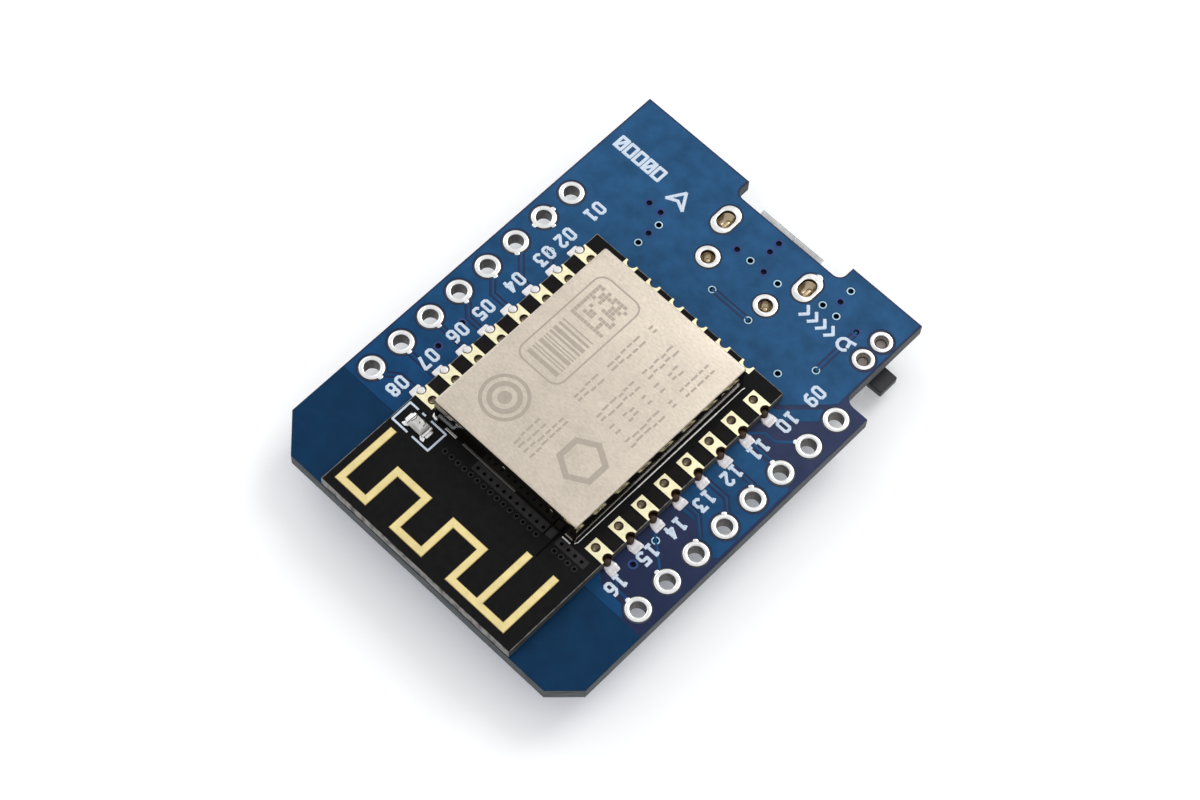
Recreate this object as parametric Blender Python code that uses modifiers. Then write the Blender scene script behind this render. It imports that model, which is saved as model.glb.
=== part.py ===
"""Small Wi-Fi microcontroller board with a radio module, a USB socket and a reset button.

The board lies flat with the module up.  The origin is under the middle of the board's
outline, at the height of the lowest point of the USB socket's flared mouth.  +Y runs
towards the USB socket, +X towards the edge with the reset button, +Z is up.

Every function below works in millimetres.  add_part() turns the result into metres.
"""
import math

import bmesh
import bpy
from mathutils import Matrix

MM = 0.001

# ---------------------------------------------------------------- driving dimensions, mm
BOARD_LENGTH = 34.2
BOARD_WIDTH = 25.6
BOARD_THICKNESS = 1.1
CHAMFER_LEFT = 2.2
CHAMFER_RIGHT = 1.75
SOLDER_GAP = 0.05                # stand-off of every soldered piece

PIN_PITCH = 2.54
PINS_PER_ROW = 8
ROW_X = 11.43
FIRST_PIN_Y = 8.34
PIN_HOLE_R = 0.525
EYELET_BARREL_R = 0.58
EYELET_FLANGE_R = 0.83
EYELET_FLANGE_T = 0.05
EYELET_BORE_R = 0.61             # hole in the laminate round the eyelet's barrel

NOTCH_LEFT = -3.95               # notch for the mouth of the USB socket
NOTCH_RIGHT = 5.05
NOTCH_DEPTH = 1.25
NOTCH_R = 0.6
INSET_X = 10.9                   # edge set back beside the reset button
INSET_Y = 9.75
INSET_R = 0.7

USB_X = 0.43
USB_MOUTH_Y = 16.5
USB_LENGTH = 5.55
USB_HALF_WIDTH = 3.75
USB_NARROW_HALF_WIDTH = 2.75
USB_HEIGHT = 2.45
USB_WALL = 0.25
LIP_FLARE = 0.25
LIP_LENGTH = 0.5
USB_SLOT_X = 3.515
USB_SLOT_Y = 13.95
USB_SLOT_SIZE = (1.0, 1.4)
USB_REAR_LEG_X = 2.48
USB_REAR_LEG_Y = 11.13
USB_REAR_HOLE_R = 0.475
USB_CONTACTS = 5
USB_CONTACT_PITCH = 0.65

MODULE_X = 0.12
MODULE_WIDTH = 16.0
MODULE_LENGTH = 24.0
MODULE_TOP_Y = 7.0
MODULE_THICKNESS = 0.8
MODULE_GAP = 0.1
MODULE_SIDE_PADS = 8
MODULE_END_PADS = 6
MODULE_PAD_PITCH = 2.0
MODULE_FIRST_PAD_Y = 5.36
MODULE_END_PADS_X = 0.2          # middle of the row of end pads
CASTELLATION_R = 0.35
MODULE_HOLE_R = 0.3
MODULE_HOLE_INSET = 1.03

CAN_CENTRE = (-0.02, -1.79)
CAN_WIDTH = 12.0
CAN_LENGTH = 15.0
CAN_WALL = 0.15
CAN_TOP_ABOVE_BOARD = 3.1
CAN_CORNER_R = 0.4
CAN_TOP_R = 0.18

ANTENNA_THICKNESS = 0.05
ANTENNA_WIDTH = 0.46

SWITCH_Y = 13.535
SWITCH_FRONT_X = 10.35
SWITCH_DEPTH = 3.3
SWITCH_WIDTH = 4.7
SWITCH_HEIGHT = 1.95
SWITCH_COVER_T = 0.15
SWITCH_POST_X = 9.84
SWITCH_POST_HALF_SPACING = 0.865
SWITCH_POST_R = 0.4
SWITCH_POST_HOLE_R = 0.475
PLUNGER_TIP_X = 11.66
PLUNGER_HALF_WIDTH = 0.82
PLUNGER_TOP_BELOW_BOARD_TOP = 2.26
PLUNGER_THICKNESS = 0.6

HOLE_STEPS = 16
GAP = 0.02                       # clearance between thin pieces that lie on each other

# ---------------------------------------------------------------- heights that follow, mm
USB_BODY_BOTTOM = LIP_FLARE
USB_BODY_TOP = USB_BODY_BOTTOM + USB_HEIGHT
BOARD_BOTTOM = USB_BODY_TOP + SOLDER_GAP
BOARD_TOP = BOARD_BOTTOM + BOARD_THICKNESS
MODULE_BOTTOM = BOARD_TOP + MODULE_GAP
MODULE_TOP = MODULE_BOTTOM + MODULE_THICKNESS
CAN_BOTTOM = MODULE_TOP + 2 * GAP
CAN_TOP = BOARD_TOP + CAN_TOP_ABOVE_BOARD
UNDERSIDE = BOARD_BOTTOM - SOLDER_GAP

# ---------------------------------------------------------------- colours and finishes
FINISHES = {
    "blue_laminate": ((0.012, 0.055, 0.150), 0.35, 0.0),
    "black_laminate": ((0.014, 0.015, 0.016), 0.45, 0.0),
    "tinned": ((0.80, 0.80, 0.78), 0.25, 1.0),
    "can_steel": ((0.72, 0.66, 0.58), 0.38, 1.0),
    "gold": ((0.83, 0.62, 0.26), 0.30, 1.0),
    "bright_steel": ((0.62, 0.62, 0.62), 0.28, 1.0),
    "spring_steel": ((0.55, 0.53, 0.50), 0.30, 1.0),
    "chip_black": ((0.018, 0.018, 0.020), 0.55, 0.0),
    "switch_black": ((0.012, 0.012, 0.013), 0.50, 0.0),
    "led_white": ((0.80, 0.80, 0.74), 0.30, 0.0),
    "capacitor_tan": ((0.42, 0.27, 0.14), 0.50, 0.0),
    "resistor_black": ((0.020, 0.020, 0.022), 0.40, 0.0),
    "fuse_green": ((0.03, 0.16, 0.08), 0.45, 0.0),
}


def material(finish):
    """The Principled material of one finish, made once."""
    found = bpy.data.materials.get(finish)
    if found:
        return found
    colour, roughness, metallic = FINISHES[finish]
    made = bpy.data.materials.new(finish)
    made.use_nodes = True
    shader = made.node_tree.nodes["Principled BSDF"]
    shader.inputs["Base Color"].default_value = (*colour, 1.0)
    shader.inputs["Roughness"].default_value = roughness
    shader.inputs["Metallic"].default_value = metallic
    made.diffuse_color = (*colour, 1.0)
    return made


# ---------------------------------------------------------------- mesh helpers
def evaluated(holder):
    """The holder's mesh with its modifiers, as new data; the holder is removed."""
    bpy.context.scene.collection.objects.link(holder)
    bpy.context.view_layer.update()
    depsgraph = bpy.context.evaluated_depsgraph_get()
    mesh = bpy.data.meshes.new_from_object(holder.evaluated_get(depsgraph))
    bpy.data.objects.remove(holder)
    return mesh


def from_bmesh(shape):
    mesh = bpy.data.meshes.new("shape")
    shape.to_mesh(mesh)
    shape.free()
    return mesh


def welded(mesh):
    """Join coincident points and turn every face outwards."""
    shape = bmesh.new()
    shape.from_mesh(mesh)
    bmesh.ops.remove_doubles(shape, verts=shape.verts, dist=0.0001)
    bmesh.ops.recalc_face_normals(shape, faces=shape.faces)
    shape.to_mesh(mesh)
    shape.free()
    return mesh


def moved(mesh, x=0.0, y=0.0, z=0.0):
    mesh.transform(Matrix.Translation((x, y, z)))
    return mesh


def turned_about(mesh, axis, degrees):
    mesh.transform(Matrix.Rotation(math.radians(degrees), 4, axis))
    return mesh


def together(meshes):
    """Several meshes as one, still separate bodies."""
    shape = bmesh.new()
    for mesh in meshes:
        shape.from_mesh(mesh)
    return from_bmesh(shape)


def boolean(mesh, tool, operation):
    """The mesh united with the tool, or with the tool cut away."""
    holder = bpy.data.objects.new("target", mesh)
    cutter = bpy.data.objects.new("tool", tool)
    cutter.hide_render = True
    cutter.display_type = "WIRE"
    bpy.context.scene.collection.objects.link(cutter)
    step = holder.modifiers.new("boolean", "BOOLEAN")
    step.operation = operation
    step.solver = "EXACT"
    step.object = cutter
    result = evaluated(holder)
    bpy.data.objects.remove(cutter)
    return welded(result)


def box(low, high, bevel=0.0, segments=1):
    """A box between two corners, with its edges bevelled."""
    size = [b - a for a, b in zip(low, high)]
    centre = [(a + b) / 2 for a, b in zip(low, high)]
    shape = bmesh.new()
    bmesh.ops.create_cube(shape, size=1.0)
    bmesh.ops.scale(shape, vec=size, verts=shape.verts)
    bmesh.ops.translate(shape, vec=centre, verts=shape.verts)
    if bevel:
        bmesh.ops.bevel(shape, geom=shape.edges[:], offset=bevel, segments=segments, affect="EDGES",
                        profile=0.5)
    return from_bmesh(shape)


def plate(loops, depth):
    """A flat piece about z = 0 from a closed outline; further loops are holes in it."""
    curve = bpy.data.curves.new("outline", "CURVE")
    curve.dimensions = "2D"
    curve.fill_mode = "BOTH"
    curve.extrude = depth / 2
    for loop in loops:
        spline = curve.splines.new("POLY")
        spline.points.add(len(loop) - 1)
        for point, (x, y) in zip(spline.points, loop):
            point.co = (x, y, 0.0, 1.0)
        spline.use_cyclic_u = True
    return welded(evaluated(bpy.data.objects.new("outline", curve)))


def side_plate(loop, depth):
    """A flat piece whose outline is given in Y and Z, and whose depth runs along X."""
    mesh = plate([loop], depth)
    mesh.transform(Matrix(((0, 0, 1, 0), (1, 0, 0, 0), (0, 1, 0, 0), (0, 0, 0, 1))))
    return mesh


def turned(profile, steps):
    """A closed profile of (radius, height) points turned about the Z axis."""
    shape = bmesh.new()
    points = [shape.verts.new((radius, 0.0, height)) for radius, height in profile]
    for first, second in zip(points, points[1:] + points[:1]):
        shape.edges.new((first, second))
    holder = bpy.data.objects.new("profile", from_bmesh(shape))
    screw = holder.modifiers.new("turn", "SCREW")
    screw.steps = steps
    screw.render_steps = steps
    screw.use_merge_vertices = True
    screw.merge_threshold = 0.0001
    return welded(evaluated(holder))


# ---------------------------------------------------------------- outlines
def circle(x, y, radius, steps=HOLE_STEPS):
    angles = [2 * math.pi * (i + 0.5) / steps for i in range(steps)]
    return [(x + radius * math.cos(a), y + radius * math.sin(a)) for a in angles]


def slot(x, y, width, length, steps=HOLE_STEPS):
    """An upright slot with round ends."""
    radius = width / 2
    straight = (length - width) / 2
    points = []
    for dx, dy in circle(0.0, 0.0, radius, steps):
        points.append((x + dx, y + dy + math.copysign(straight, dy)))
    return points


def rounded(corners, steps=4):
    """A closed outline of (x, y, radius) corners, with the round ones as arcs."""
    points = []
    for i, (x, y, radius) in enumerate(corners):
        if radius == 0:
            points.append((x, y))
            continue
        before = corners[i - 1]
        after = corners[(i + 1) % len(corners)]
        angle_in = math.atan2(before[1] - y, before[0] - x)
        angle_out = math.atan2(after[1] - y, after[0] - x)
        opening = (angle_out - angle_in + math.pi) % (2 * math.pi) - math.pi
        middle = angle_in + opening / 2
        reach = radius / abs(math.sin(opening / 2))
        centre = (x + reach * math.cos(middle), y + reach * math.sin(middle))
        sweep = math.copysign(math.pi - abs(opening), -opening)
        start = middle + math.pi - sweep / 2
        for k in range(steps + 1):
            a = start + sweep * k / steps
            points.append((centre[0] + radius * math.cos(a), centre[1] + radius * math.sin(a)))
    return points


def ribbon(path, width):
    """The outline of an open path drawn with a constant width and mitred corners."""
    left = []
    right = []
    for i, (x, y) in enumerate(path):
        directions = []
        if i > 0:
            directions.append((x - path[i - 1][0], y - path[i - 1][1]))
        if i < len(path) - 1:
            directions.append((path[i + 1][0] - x, path[i + 1][1] - y))
        units = [(dx / math.hypot(dx, dy), dy / math.hypot(dx, dy)) for dx, dy in directions]
        mean = (sum(u[0] for u in units), sum(u[1] for u in units))
        size = math.hypot(*mean)
        normal = (-mean[1] / size, mean[0] / size)
        stretch = abs(normal[0] * -units[0][1] + normal[1] * units[0][0])
        offset = width / 2 / stretch
        left.append((x + normal[0] * offset, y + normal[1] * offset))
        right.append((x - normal[0] * offset, y - normal[1] * offset))
    return left + right[::-1]


# ---------------------------------------------------------------- placing parts
def parts_collection():
    collection = bpy.data.collections.get("wifi_dev_board")
    if collection is None:
        collection = bpy.data.collections.new("wifi_dev_board")
        bpy.context.scene.collection.children.link(collection)
    return collection


def add_part(name, mesh, finish, origin=(0.0, 0.0, 0.0)):
    """Put a mesh, in millimetres round its own origin, in its place on the board."""
    mesh.name = name
    mesh.transform(Matrix.Scale(MM, 4))
    mesh.materials.clear()
    mesh.materials.append(material(finish))
    mesh.shade_smooth()
    mesh.set_sharp_from_angle(angle=math.radians(40))
    return add_copy(name, mesh, origin)


def add_copy(name, mesh, origin):
    """One more object that shares a finished mesh."""
    part = bpy.data.objects.new(name, mesh)
    part.location = [value * MM for value in origin]
    parts_collection().objects.link(part)
    return part


def add_under(name, mesh, finish, x, y, turn=0.0):
    """Put a piece modelled with its feet at z = 0 on the board's underside, feet up."""
    part = add_part(name, mesh, finish, (x, y, UNDERSIDE))
    part.rotation_euler = (math.pi, 0.0, math.radians(turn))
    return part


# ---------------------------------------------------------------- positions that repeat
def pin_places():
    """Centres of the plated pin holes, left row first, from the USB end."""
    rows = [(-ROW_X, i) for i in range(PINS_PER_ROW)] + [(ROW_X, i) for i in range(PINS_PER_ROW)]
    return [(x, FIRST_PIN_Y - PIN_PITCH * i) for x, i in rows]


def side_pad_heights():
    return [MODULE_FIRST_PAD_Y - MODULE_PAD_PITCH * i for i in range(MODULE_SIDE_PADS)]


def end_pad_places():
    middle = (MODULE_END_PADS - 1) / 2
    return [MODULE_END_PADS_X + MODULE_PAD_PITCH * (i - middle) for i in range(MODULE_END_PADS)]


# ---------------------------------------------------------------- main board
def board_outline():
    half_width = BOARD_WIDTH / 2
    half_length = BOARD_LENGTH / 2
    notch_y = half_length - NOTCH_DEPTH
    return rounded([
        (-half_width, -half_length + CHAMFER_LEFT, 0),
        (-half_width + CHAMFER_LEFT, -half_length, 0),
        (half_width - CHAMFER_RIGHT, -half_length, 0),
        (half_width, -half_length + CHAMFER_RIGHT, 0),
        (half_width, INSET_Y, 0),
        (INSET_X, INSET_Y, INSET_R),
        (INSET_X, half_length, 0),
        (NOTCH_RIGHT, half_length, 0),
        (NOTCH_RIGHT, notch_y, NOTCH_R),
        (NOTCH_LEFT, notch_y, NOTCH_R),
        (NOTCH_LEFT, half_length, 0),
        (-half_width, half_length, 0),
    ])


def make_main_board():
    loops = [board_outline()]
    loops += [circle(x, y, EYELET_BORE_R) for x, y in pin_places()]
    for side in (-1, 1):
        loops.append(slot(USB_X + side * USB_SLOT_X, USB_SLOT_Y, *USB_SLOT_SIZE, 12))
        loops.append(circle(USB_X + side * USB_REAR_LEG_X, USB_REAR_LEG_Y, USB_REAR_HOLE_R, 12))
        post_y = SWITCH_Y + side * SWITCH_POST_HALF_SPACING
        loops.append(circle(SWITCH_POST_X, post_y, SWITCH_POST_HOLE_R, 12))
    add_part("main_pcb", plate(loops, BOARD_THICKNESS), "blue_laminate",
             (0.0, 0.0, BOARD_BOTTOM + BOARD_THICKNESS / 2))


def make_header_eyelets():
    """Plated pin holes: a tinned barrel with a flange on both faces of the board."""
    under = BOARD_THICKNESS / 2 + GAP
    top = under + EYELET_FLANGE_T
    mesh = turned([
        (PIN_HOLE_R, top), (EYELET_FLANGE_R, top), (EYELET_FLANGE_R, under),
        (EYELET_BARREL_R, under), (EYELET_BARREL_R, -under), (EYELET_FLANGE_R, -under),
        (EYELET_FLANGE_R, -top), (PIN_HOLE_R, -top),
    ], HOLE_STEPS)
    middle = BOARD_BOTTOM + BOARD_THICKNESS / 2
    for i, (x, y) in enumerate(pin_places()):
        name = f"header_eyelet_{i + 1:02d}"
        if i == 0:
            add_part(name, mesh, "tinned", (x, y, middle))
        else:
            add_copy(name, mesh, (x, y, middle))


# ---------------------------------------------------------------- radio module
def bite(x, y, radius, start):
    """Half a circle of points that cuts into an edge, running on from the start angle."""
    steps = 6
    angles = [math.radians(start - 180 * k / steps) for k in range(steps + 1)]
    return [(x + radius * math.cos(a), y + radius * math.sin(a)) for a in angles]


def module_outline():
    left = MODULE_X - MODULE_WIDTH / 2
    right = left + MODULE_WIDTH
    bottom = MODULE_TOP_Y - MODULE_LENGTH
    points = [(left, bottom), (right, bottom)]
    for y in reversed(side_pad_heights()):
        points += bite(right, y, CASTELLATION_R, 270)
    points.append((right, MODULE_TOP_Y))
    for x in reversed(end_pad_places()):
        points += bite(x, MODULE_TOP_Y, CASTELLATION_R, 360)
    points.append((left, MODULE_TOP_Y))
    for y in side_pad_heights():
        points += bite(left, y, CASTELLATION_R, 90)
    return points


def make_module_board():
    loops = [module_outline()]
    for side in (-1, 1):
        x = MODULE_X + side * (MODULE_WIDTH / 2 - MODULE_HOLE_INSET)
        loops += [circle(x, y, MODULE_HOLE_R, 8) for y in side_pad_heights()]
    add_part("module_pcb", plate(loops, MODULE_THICKNESS), "black_laminate",
             (0.0, 0.0, MODULE_BOTTOM + MODULE_THICKNESS / 2))


def make_shield_can():
    """Drawn steel lid: open below, with bent edges."""
    height = CAN_TOP - CAN_BOTTOM
    shape = bmesh.new()
    bmesh.ops.create_cube(shape, size=1.0)
    bmesh.ops.scale(shape, vec=(CAN_WIDTH, CAN_LENGTH, height), verts=shape.verts)
    bmesh.ops.translate(shape, vec=(0, 0, height / 2), verts=shape.verts)
    floor = [face for face in shape.faces if face.normal.z < -0.5]
    bmesh.ops.delete(shape, geom=floor, context="FACES_ONLY")
    upright = [e for e in shape.edges if abs(e.verts[0].co.z - e.verts[1].co.z) > height / 2]
    bmesh.ops.bevel(shape, geom=upright, offset=CAN_CORNER_R, segments=3, affect="EDGES", profile=0.5)
    rim = [e for e in shape.edges if all(v.co.z > height - 0.01 for v in e.verts)]
    bmesh.ops.bevel(shape, geom=rim, offset=CAN_TOP_R, segments=2, affect="EDGES", profile=0.5)
    holder = bpy.data.objects.new("can", from_bmesh(shape))
    skin = holder.modifiers.new("sheet", "SOLIDIFY")
    skin.thickness = CAN_WALL
    skin.offset = -1.0
    skin.use_even_offset = True
    add_part("shield_can", welded(evaluated(holder)), "can_steel", (*CAN_CENTRE, CAN_BOTTOM))


def make_antenna():
    """Meandered trace with a second leg, on the bare end of the module."""
    low, high, foot = -16.22, -13.52, -11.75
    legs = (-7.08, -4.91, -2.40, -0.12, 2.37)
    last, branch = 6.8, 4.59
    path = [(legs[0], foot)]
    for i, x in enumerate(legs):
        level = low if i % 2 == 0 else high
        path.append((x, level))
        if i < len(legs) - 1:
            path.append((legs[i + 1], level))
    path += [(last, low), (last, foot)]
    meander = plate([ribbon(path, ANTENNA_WIDTH)], ANTENNA_THICKNESS)
    second = plate([ribbon([(branch, low), (branch, foot)], ANTENNA_WIDTH)], ANTENNA_THICKNESS)
    trace = boolean(meander, second, "UNION")
    add_part("antenna_trace", trace, "gold", (0.0, 0.0, MODULE_TOP + GAP + ANTENNA_THICKNESS / 2))


# ---------------------------------------------------------------- packaged components
def gull_wing(body_half, span_half, height, thickness=0.2):
    """Side outline of one bent lead, in Y and Z, from inside the body to its foot."""
    shoulder = body_half + 0.3 * (span_half - body_half)
    heel = body_half + 0.55 * (span_half - body_half)
    path = [(body_half - 0.25, height), (shoulder, height), (heel, thickness / 2),
            (span_half, thickness / 2)]
    return ribbon(path, thickness)


def leaded_package(body, standoff, lead_xs, other_xs, span, lead_width):
    """A moulded package along X with gull-wing leads on its two long sides."""
    length, width, top = body
    moulding = box((-length / 2, -width / 2, standoff), (length / 2, width / 2, top), 0.08)
    outline = gull_wing(width / 2, span / 2, (standoff + top) / 2, min(0.2, standoff * 1.6))
    leads = [moved(side_plate(outline, lead_width), x=x) for x in lead_xs]
    facing = [(-y, z) for y, z in outline]
    leads += [moved(side_plate(facing, lead_width), x=x) for x in other_xs]
    return boolean(moulding, together(leads), "UNION")


def evenly(count, pitch):
    return [pitch * (i - (count - 1) / 2) for i in range(count)]


def chip_component(length, width, height, cap=0.35, lip=0.03):
    """A two-terminal chip: a body between two slightly proud end caps."""
    half = length / 2
    waist = half - cap
    outline = [(-half, 0), (-waist, 0), (-waist, lip), (waist, lip), (waist, 0), (half, 0),
               (half, height), (waist, height), (waist, height - lip), (-waist, height - lip),
               (-waist, height), (-half, height)]
    return turned_about(side_plate(outline, width), "Z", 90)


def lidded_crystal(length, width, height):
    """A ceramic base with a smaller metal lid."""
    base = box((-length / 2, -width / 2, 0), (length / 2, width / 2, height * 0.55), 0.06)
    inset = 0.25
    lid = box((-length / 2 + inset, -width / 2 + inset, height * 0.3),
              (length / 2 - inset, width / 2 - inset, height), 0.06)
    return boolean(base, lid, "UNION")


def make_module_components():
    """What the shield can covers, and the lamp beside it."""
    floor = MODULE_TOP + GAP
    half = 2.5
    add_part("wifi_chip", box((-half, -half, 0), (half, half, 0.85), 0.05), "chip_black",
             (-1.6, -5.4, floor))
    flash = leaded_package((5.2, 4.6, 1.55), 0.1, evenly(4, 1.27), evenly(4, 1.27), 7.2, 0.4)
    add_part("flash_chip", turned_about(flash, "Z", 90), "chip_black", (0.4, 2.2, floor))
    add_part("module_crystal", lidded_crystal(3.2, 2.5, 0.75), "bright_steel", (3.5, -4.4, floor))
    for i, (x, y) in enumerate([(3.2, -7.6), (-4.9, -1.9), (1.9, -1.9), (-1.4, -1.9)]):
        mesh = chip_component(1.0, 0.5, 0.5, 0.22, 0.02)
        add_part(f"module_capacitor_{i + 1}", mesh, "capacitor_tan", (x, y, floor))
    add_part("module_led", led(), "led_white", (-6.15, -10.48, floor))


def led():
    """Small lamp: a base with a terminal at each end and a lens on top."""
    outline = [(-0.8, 0), (0.8, 0), (0.8, 0.28), (0.55, 0.28), (0.5, 0.6), (-0.5, 0.6),
               (-0.55, 0.28), (-0.8, 0.28)]
    return turned_about(side_plate(outline, 0.8), "Z", 90)


def make_underside_components():
    serial = leaded_package((9.9, 3.9, 1.6), 0.12, evenly(8, 1.27), evenly(8, 1.27), 6.0, 0.42)
    add_under("usb_serial_chip", serial, "chip_black", 0.4, 3.3)
    add_under("serial_crystal", lidded_crystal(5.0, 3.2, 1.1), "bright_steel", -7.4, 3.3, 90)
    regulator = leaded_package((2.9, 1.6, 1.15), 0.1, evenly(3, 0.95), (-0.95, 0.95), 2.8, 0.38)
    add_under("regulator", regulator, "chip_black", 6.3, 8.7)
    for i, y in enumerate((4.4, 0.9)):
        mesh = leaded_package((2.9, 1.3, 1.05), 0.1, (0.0,), (-0.95, 0.95), 2.4, 0.4)
        add_under(f"transistor_{i + 1}", mesh, "chip_black", 8.3, y, 90)
    diode = leaded_package((1.6, 2.7, 1.1), 0.1, (0.0,), (0.0,), 3.8, 0.6)
    add_under("diode", diode, "chip_black", -8.4, 12.4)
    add_under("polyfuse", chip_component(3.2, 1.6, 0.75, 0.5), "fuse_green", -5.6, 12.4, 90)
    for i, (x, y, turn) in enumerate([(9.1, 8.7, 90), (3.0, 8.4, 0), (-7.2, 8.2, 0), (-4.3, 8.2, 0),
                                      (0.2, 8.4, 0)]):
        mesh = chip_component(1.6, 0.8, 0.8)
        add_under(f"capacitor_{i + 1}", mesh, "capacitor_tan", x, y, turn)
    for i, x in enumerate(evenly(5, 2.6)):
        add_under(f"resistor_{i + 1}", chip_component(1.6, 0.8, 0.45), "resistor_black", x, -2.4, 90)


# ---------------------------------------------------------------- USB socket
def usb_section():
    """Outline of the socket across its length, in X and Z: the narrow side faces the board."""
    return rounded([
        (-USB_HALF_WIDTH, USB_BODY_BOTTOM, 0.45),
        (USB_HALF_WIDTH, USB_BODY_BOTTOM, 0.45),
        (USB_HALF_WIDTH, USB_BODY_BOTTOM + 1.3, 0.3),
        (USB_NARROW_HALF_WIDTH, USB_BODY_TOP, 0.3),
        (-USB_NARROW_HALF_WIDTH, USB_BODY_TOP, 0.3),
        (-USB_HALF_WIDTH, USB_BODY_BOTTOM + 1.3, 0.3),
    ], 3)


def make_usb_shell():
    """Folded sheet round the socket, flared at the mouth, with four legs into the board."""
    middle = (USB_BODY_BOTTOM + USB_BODY_TOP) / 2
    wide = 1 + LIP_FLARE / USB_HALF_WIDTH
    tall = 1 + LIP_FLARE / (USB_HEIGHT / 2)
    back = USB_MOUTH_Y - USB_LENGTH
    rings = [(back, 1, 1), (USB_MOUTH_Y - LIP_LENGTH, 1, 1), (USB_MOUTH_Y, wide, tall)]
    shape = bmesh.new()
    loops = []
    for y, stretch_x, stretch_z in rings:
        loops.append([shape.verts.new((USB_X + x * stretch_x, y, middle + (z - middle) * stretch_z))
                      for x, z in usb_section()])
    for near, far in zip(loops, loops[1:]):
        edges = [shape.edges.get(pair) or shape.edges.new(pair)
                 for loop in (near, far) for pair in zip(loop, loop[1:] + loop[:1])]
        bmesh.ops.bridge_loops(shape, edges=edges)
    bmesh.ops.recalc_face_normals(shape, faces=shape.faces)
    holder = bpy.data.objects.new("sleeve", from_bmesh(shape))
    skin = holder.modifiers.new("sheet", "SOLIDIFY")
    skin.thickness = USB_WALL
    skin.offset = 1.0            # the sleeve's faces look inwards, so the wall grows inwards
    skin.use_even_offset = True
    sleeve = welded(evaluated(holder))
    tip = BOARD_TOP - 0.1
    legs = []
    for side in (-1, 1):
        x = USB_X + side * 3.6
        legs.append(box((x - 0.12, USB_SLOT_Y - 0.45, 1.3), (x + 0.12, USB_SLOT_Y + 0.45, tip)))
        x = USB_X + side * USB_REAR_LEG_X
        y = USB_REAR_LEG_Y
        legs.append(box((x - 0.25, y - 0.12, USB_BODY_TOP - 0.18), (x + 0.25, y + 0.12, tip)))
    add_part("usb_shell", boolean(sleeve, together(legs), "UNION"), "bright_steel")


TONGUE_TOP = 1.75
TONGUE_BOTTOM = 1.15


def make_usb_housing():
    """Insulator: a block at the back of the socket with the tongue that a plug fits over."""
    block = box((USB_X - 3.15, 11.15, 0.55), (USB_X + 3.15, 13.3, TONGUE_TOP), 0.05)
    tongue = box((USB_X - 1.95, 13.0, TONGUE_BOTTOM), (USB_X + 1.95, USB_MOUTH_Y - 0.45, TONGUE_TOP), 0.05)
    add_part("usb_housing", boolean(block, tongue, "UNION"), "switch_black")


def make_usb_contacts():
    """Flat springs along the tongue that step up to the board behind the shell."""
    thickness = 0.14
    level = TONGUE_TOP + GAP + thickness / 2
    foot = UNDERSIDE - thickness / 2
    path = [(USB_MOUTH_Y - 0.75, level), (10.78, level), (10.78, foot), (10.2, foot)]
    for i, x in enumerate(evenly(USB_CONTACTS, USB_CONTACT_PITCH)):
        mesh = side_plate(ribbon(path, thickness), 0.3)
        add_part(f"usb_contact_{i + 1}", mesh, "gold", (USB_X + x, 0.0, 0.0))


# ---------------------------------------------------------------- reset switch
SWITCH_TOP = UNDERSIDE
SWITCH_BOTTOM = UNDERSIDE - SWITCH_HEIGHT
PLUNGER_TOP = BOARD_TOP - PLUNGER_TOP_BELOW_BOARD_TOP
PLUNGER_MIDDLE = PLUNGER_TOP - PLUNGER_THICKNESS / 2
BASE_BOTTOM = SWITCH_BOTTOM + SWITCH_COVER_T + GAP
SHOULDER_X = SWITCH_FRONT_X - 0.5      # front of the key's shoulders, behind the base's front wall


def make_switch_base():
    """Moulded base with two locating posts and a pocket for the plunger and its spring."""
    back = SWITCH_FRONT_X - SWITCH_DEPTH
    half = SWITCH_WIDTH / 2
    block = box((back, -half, BASE_BOTTOM), (SWITCH_FRONT_X, half, SWITCH_TOP), 0.05)
    ceiling = PLUNGER_TOP + 0.06
    under = BASE_BOTTOM - 0.5
    pocket = box((SWITCH_FRONT_X - 2.6, -1.35, under), (SHOULDER_X + 0.05, 1.35, ceiling))
    mouth = box((SHOULDER_X - 0.15, -PLUNGER_HALF_WIDTH - 0.06, under),
                (SWITCH_FRONT_X + 0.5, PLUNGER_HALF_WIDTH + 0.06, ceiling))
    block = boolean(block, boolean(pocket, mouth, "UNION"), "DIFFERENCE")
    posts = []
    for side in (-1, 1):
        post = plate([circle(SWITCH_POST_X, side * SWITCH_POST_HALF_SPACING, SWITCH_POST_R, 12)], 0.95)
        posts.append(moved(post, z=SWITCH_TOP + 0.35))
    add_part("switch_base", boolean(block, together(posts), "UNION"), "switch_black",
             (0.0, SWITCH_Y, 0.0))


def make_switch_cover():
    """Folded sheet that closes the pocket from below."""
    half = SWITCH_WIDTH / 2 + GAP + SWITCH_COVER_T / 2
    level = SWITCH_BOTTOM + SWITCH_COVER_T / 2
    path = [(-half, level + 0.5), (-half, level), (half, level), (half, level + 0.5)]
    middle = SWITCH_FRONT_X - SWITCH_DEPTH / 2
    mesh = side_plate(ribbon(path, SWITCH_COVER_T), SWITCH_DEPTH - 0.2)
    add_part("switch_cover", mesh, "bright_steel", (middle, SWITCH_Y, 0.0))


def make_switch_terminals():
    """One soldered terminal on each side of the base."""
    thickness = 0.14
    side_y = SWITCH_WIDTH / 2 + GAP + thickness / 2
    foot = UNDERSIDE - thickness / 2
    path = [(side_y, SWITCH_BOTTOM + 0.8), (side_y, foot), (side_y + 0.55, foot)]
    for i, side in enumerate((-1, 1)):
        outline = ribbon([(side * y, z) for y, z in path], thickness)
        add_part(f"switch_terminal_{i + 1}", side_plate(outline, 0.8), "tinned",
                 (SWITCH_FRONT_X - 2.05, SWITCH_Y, 0.0))


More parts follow.
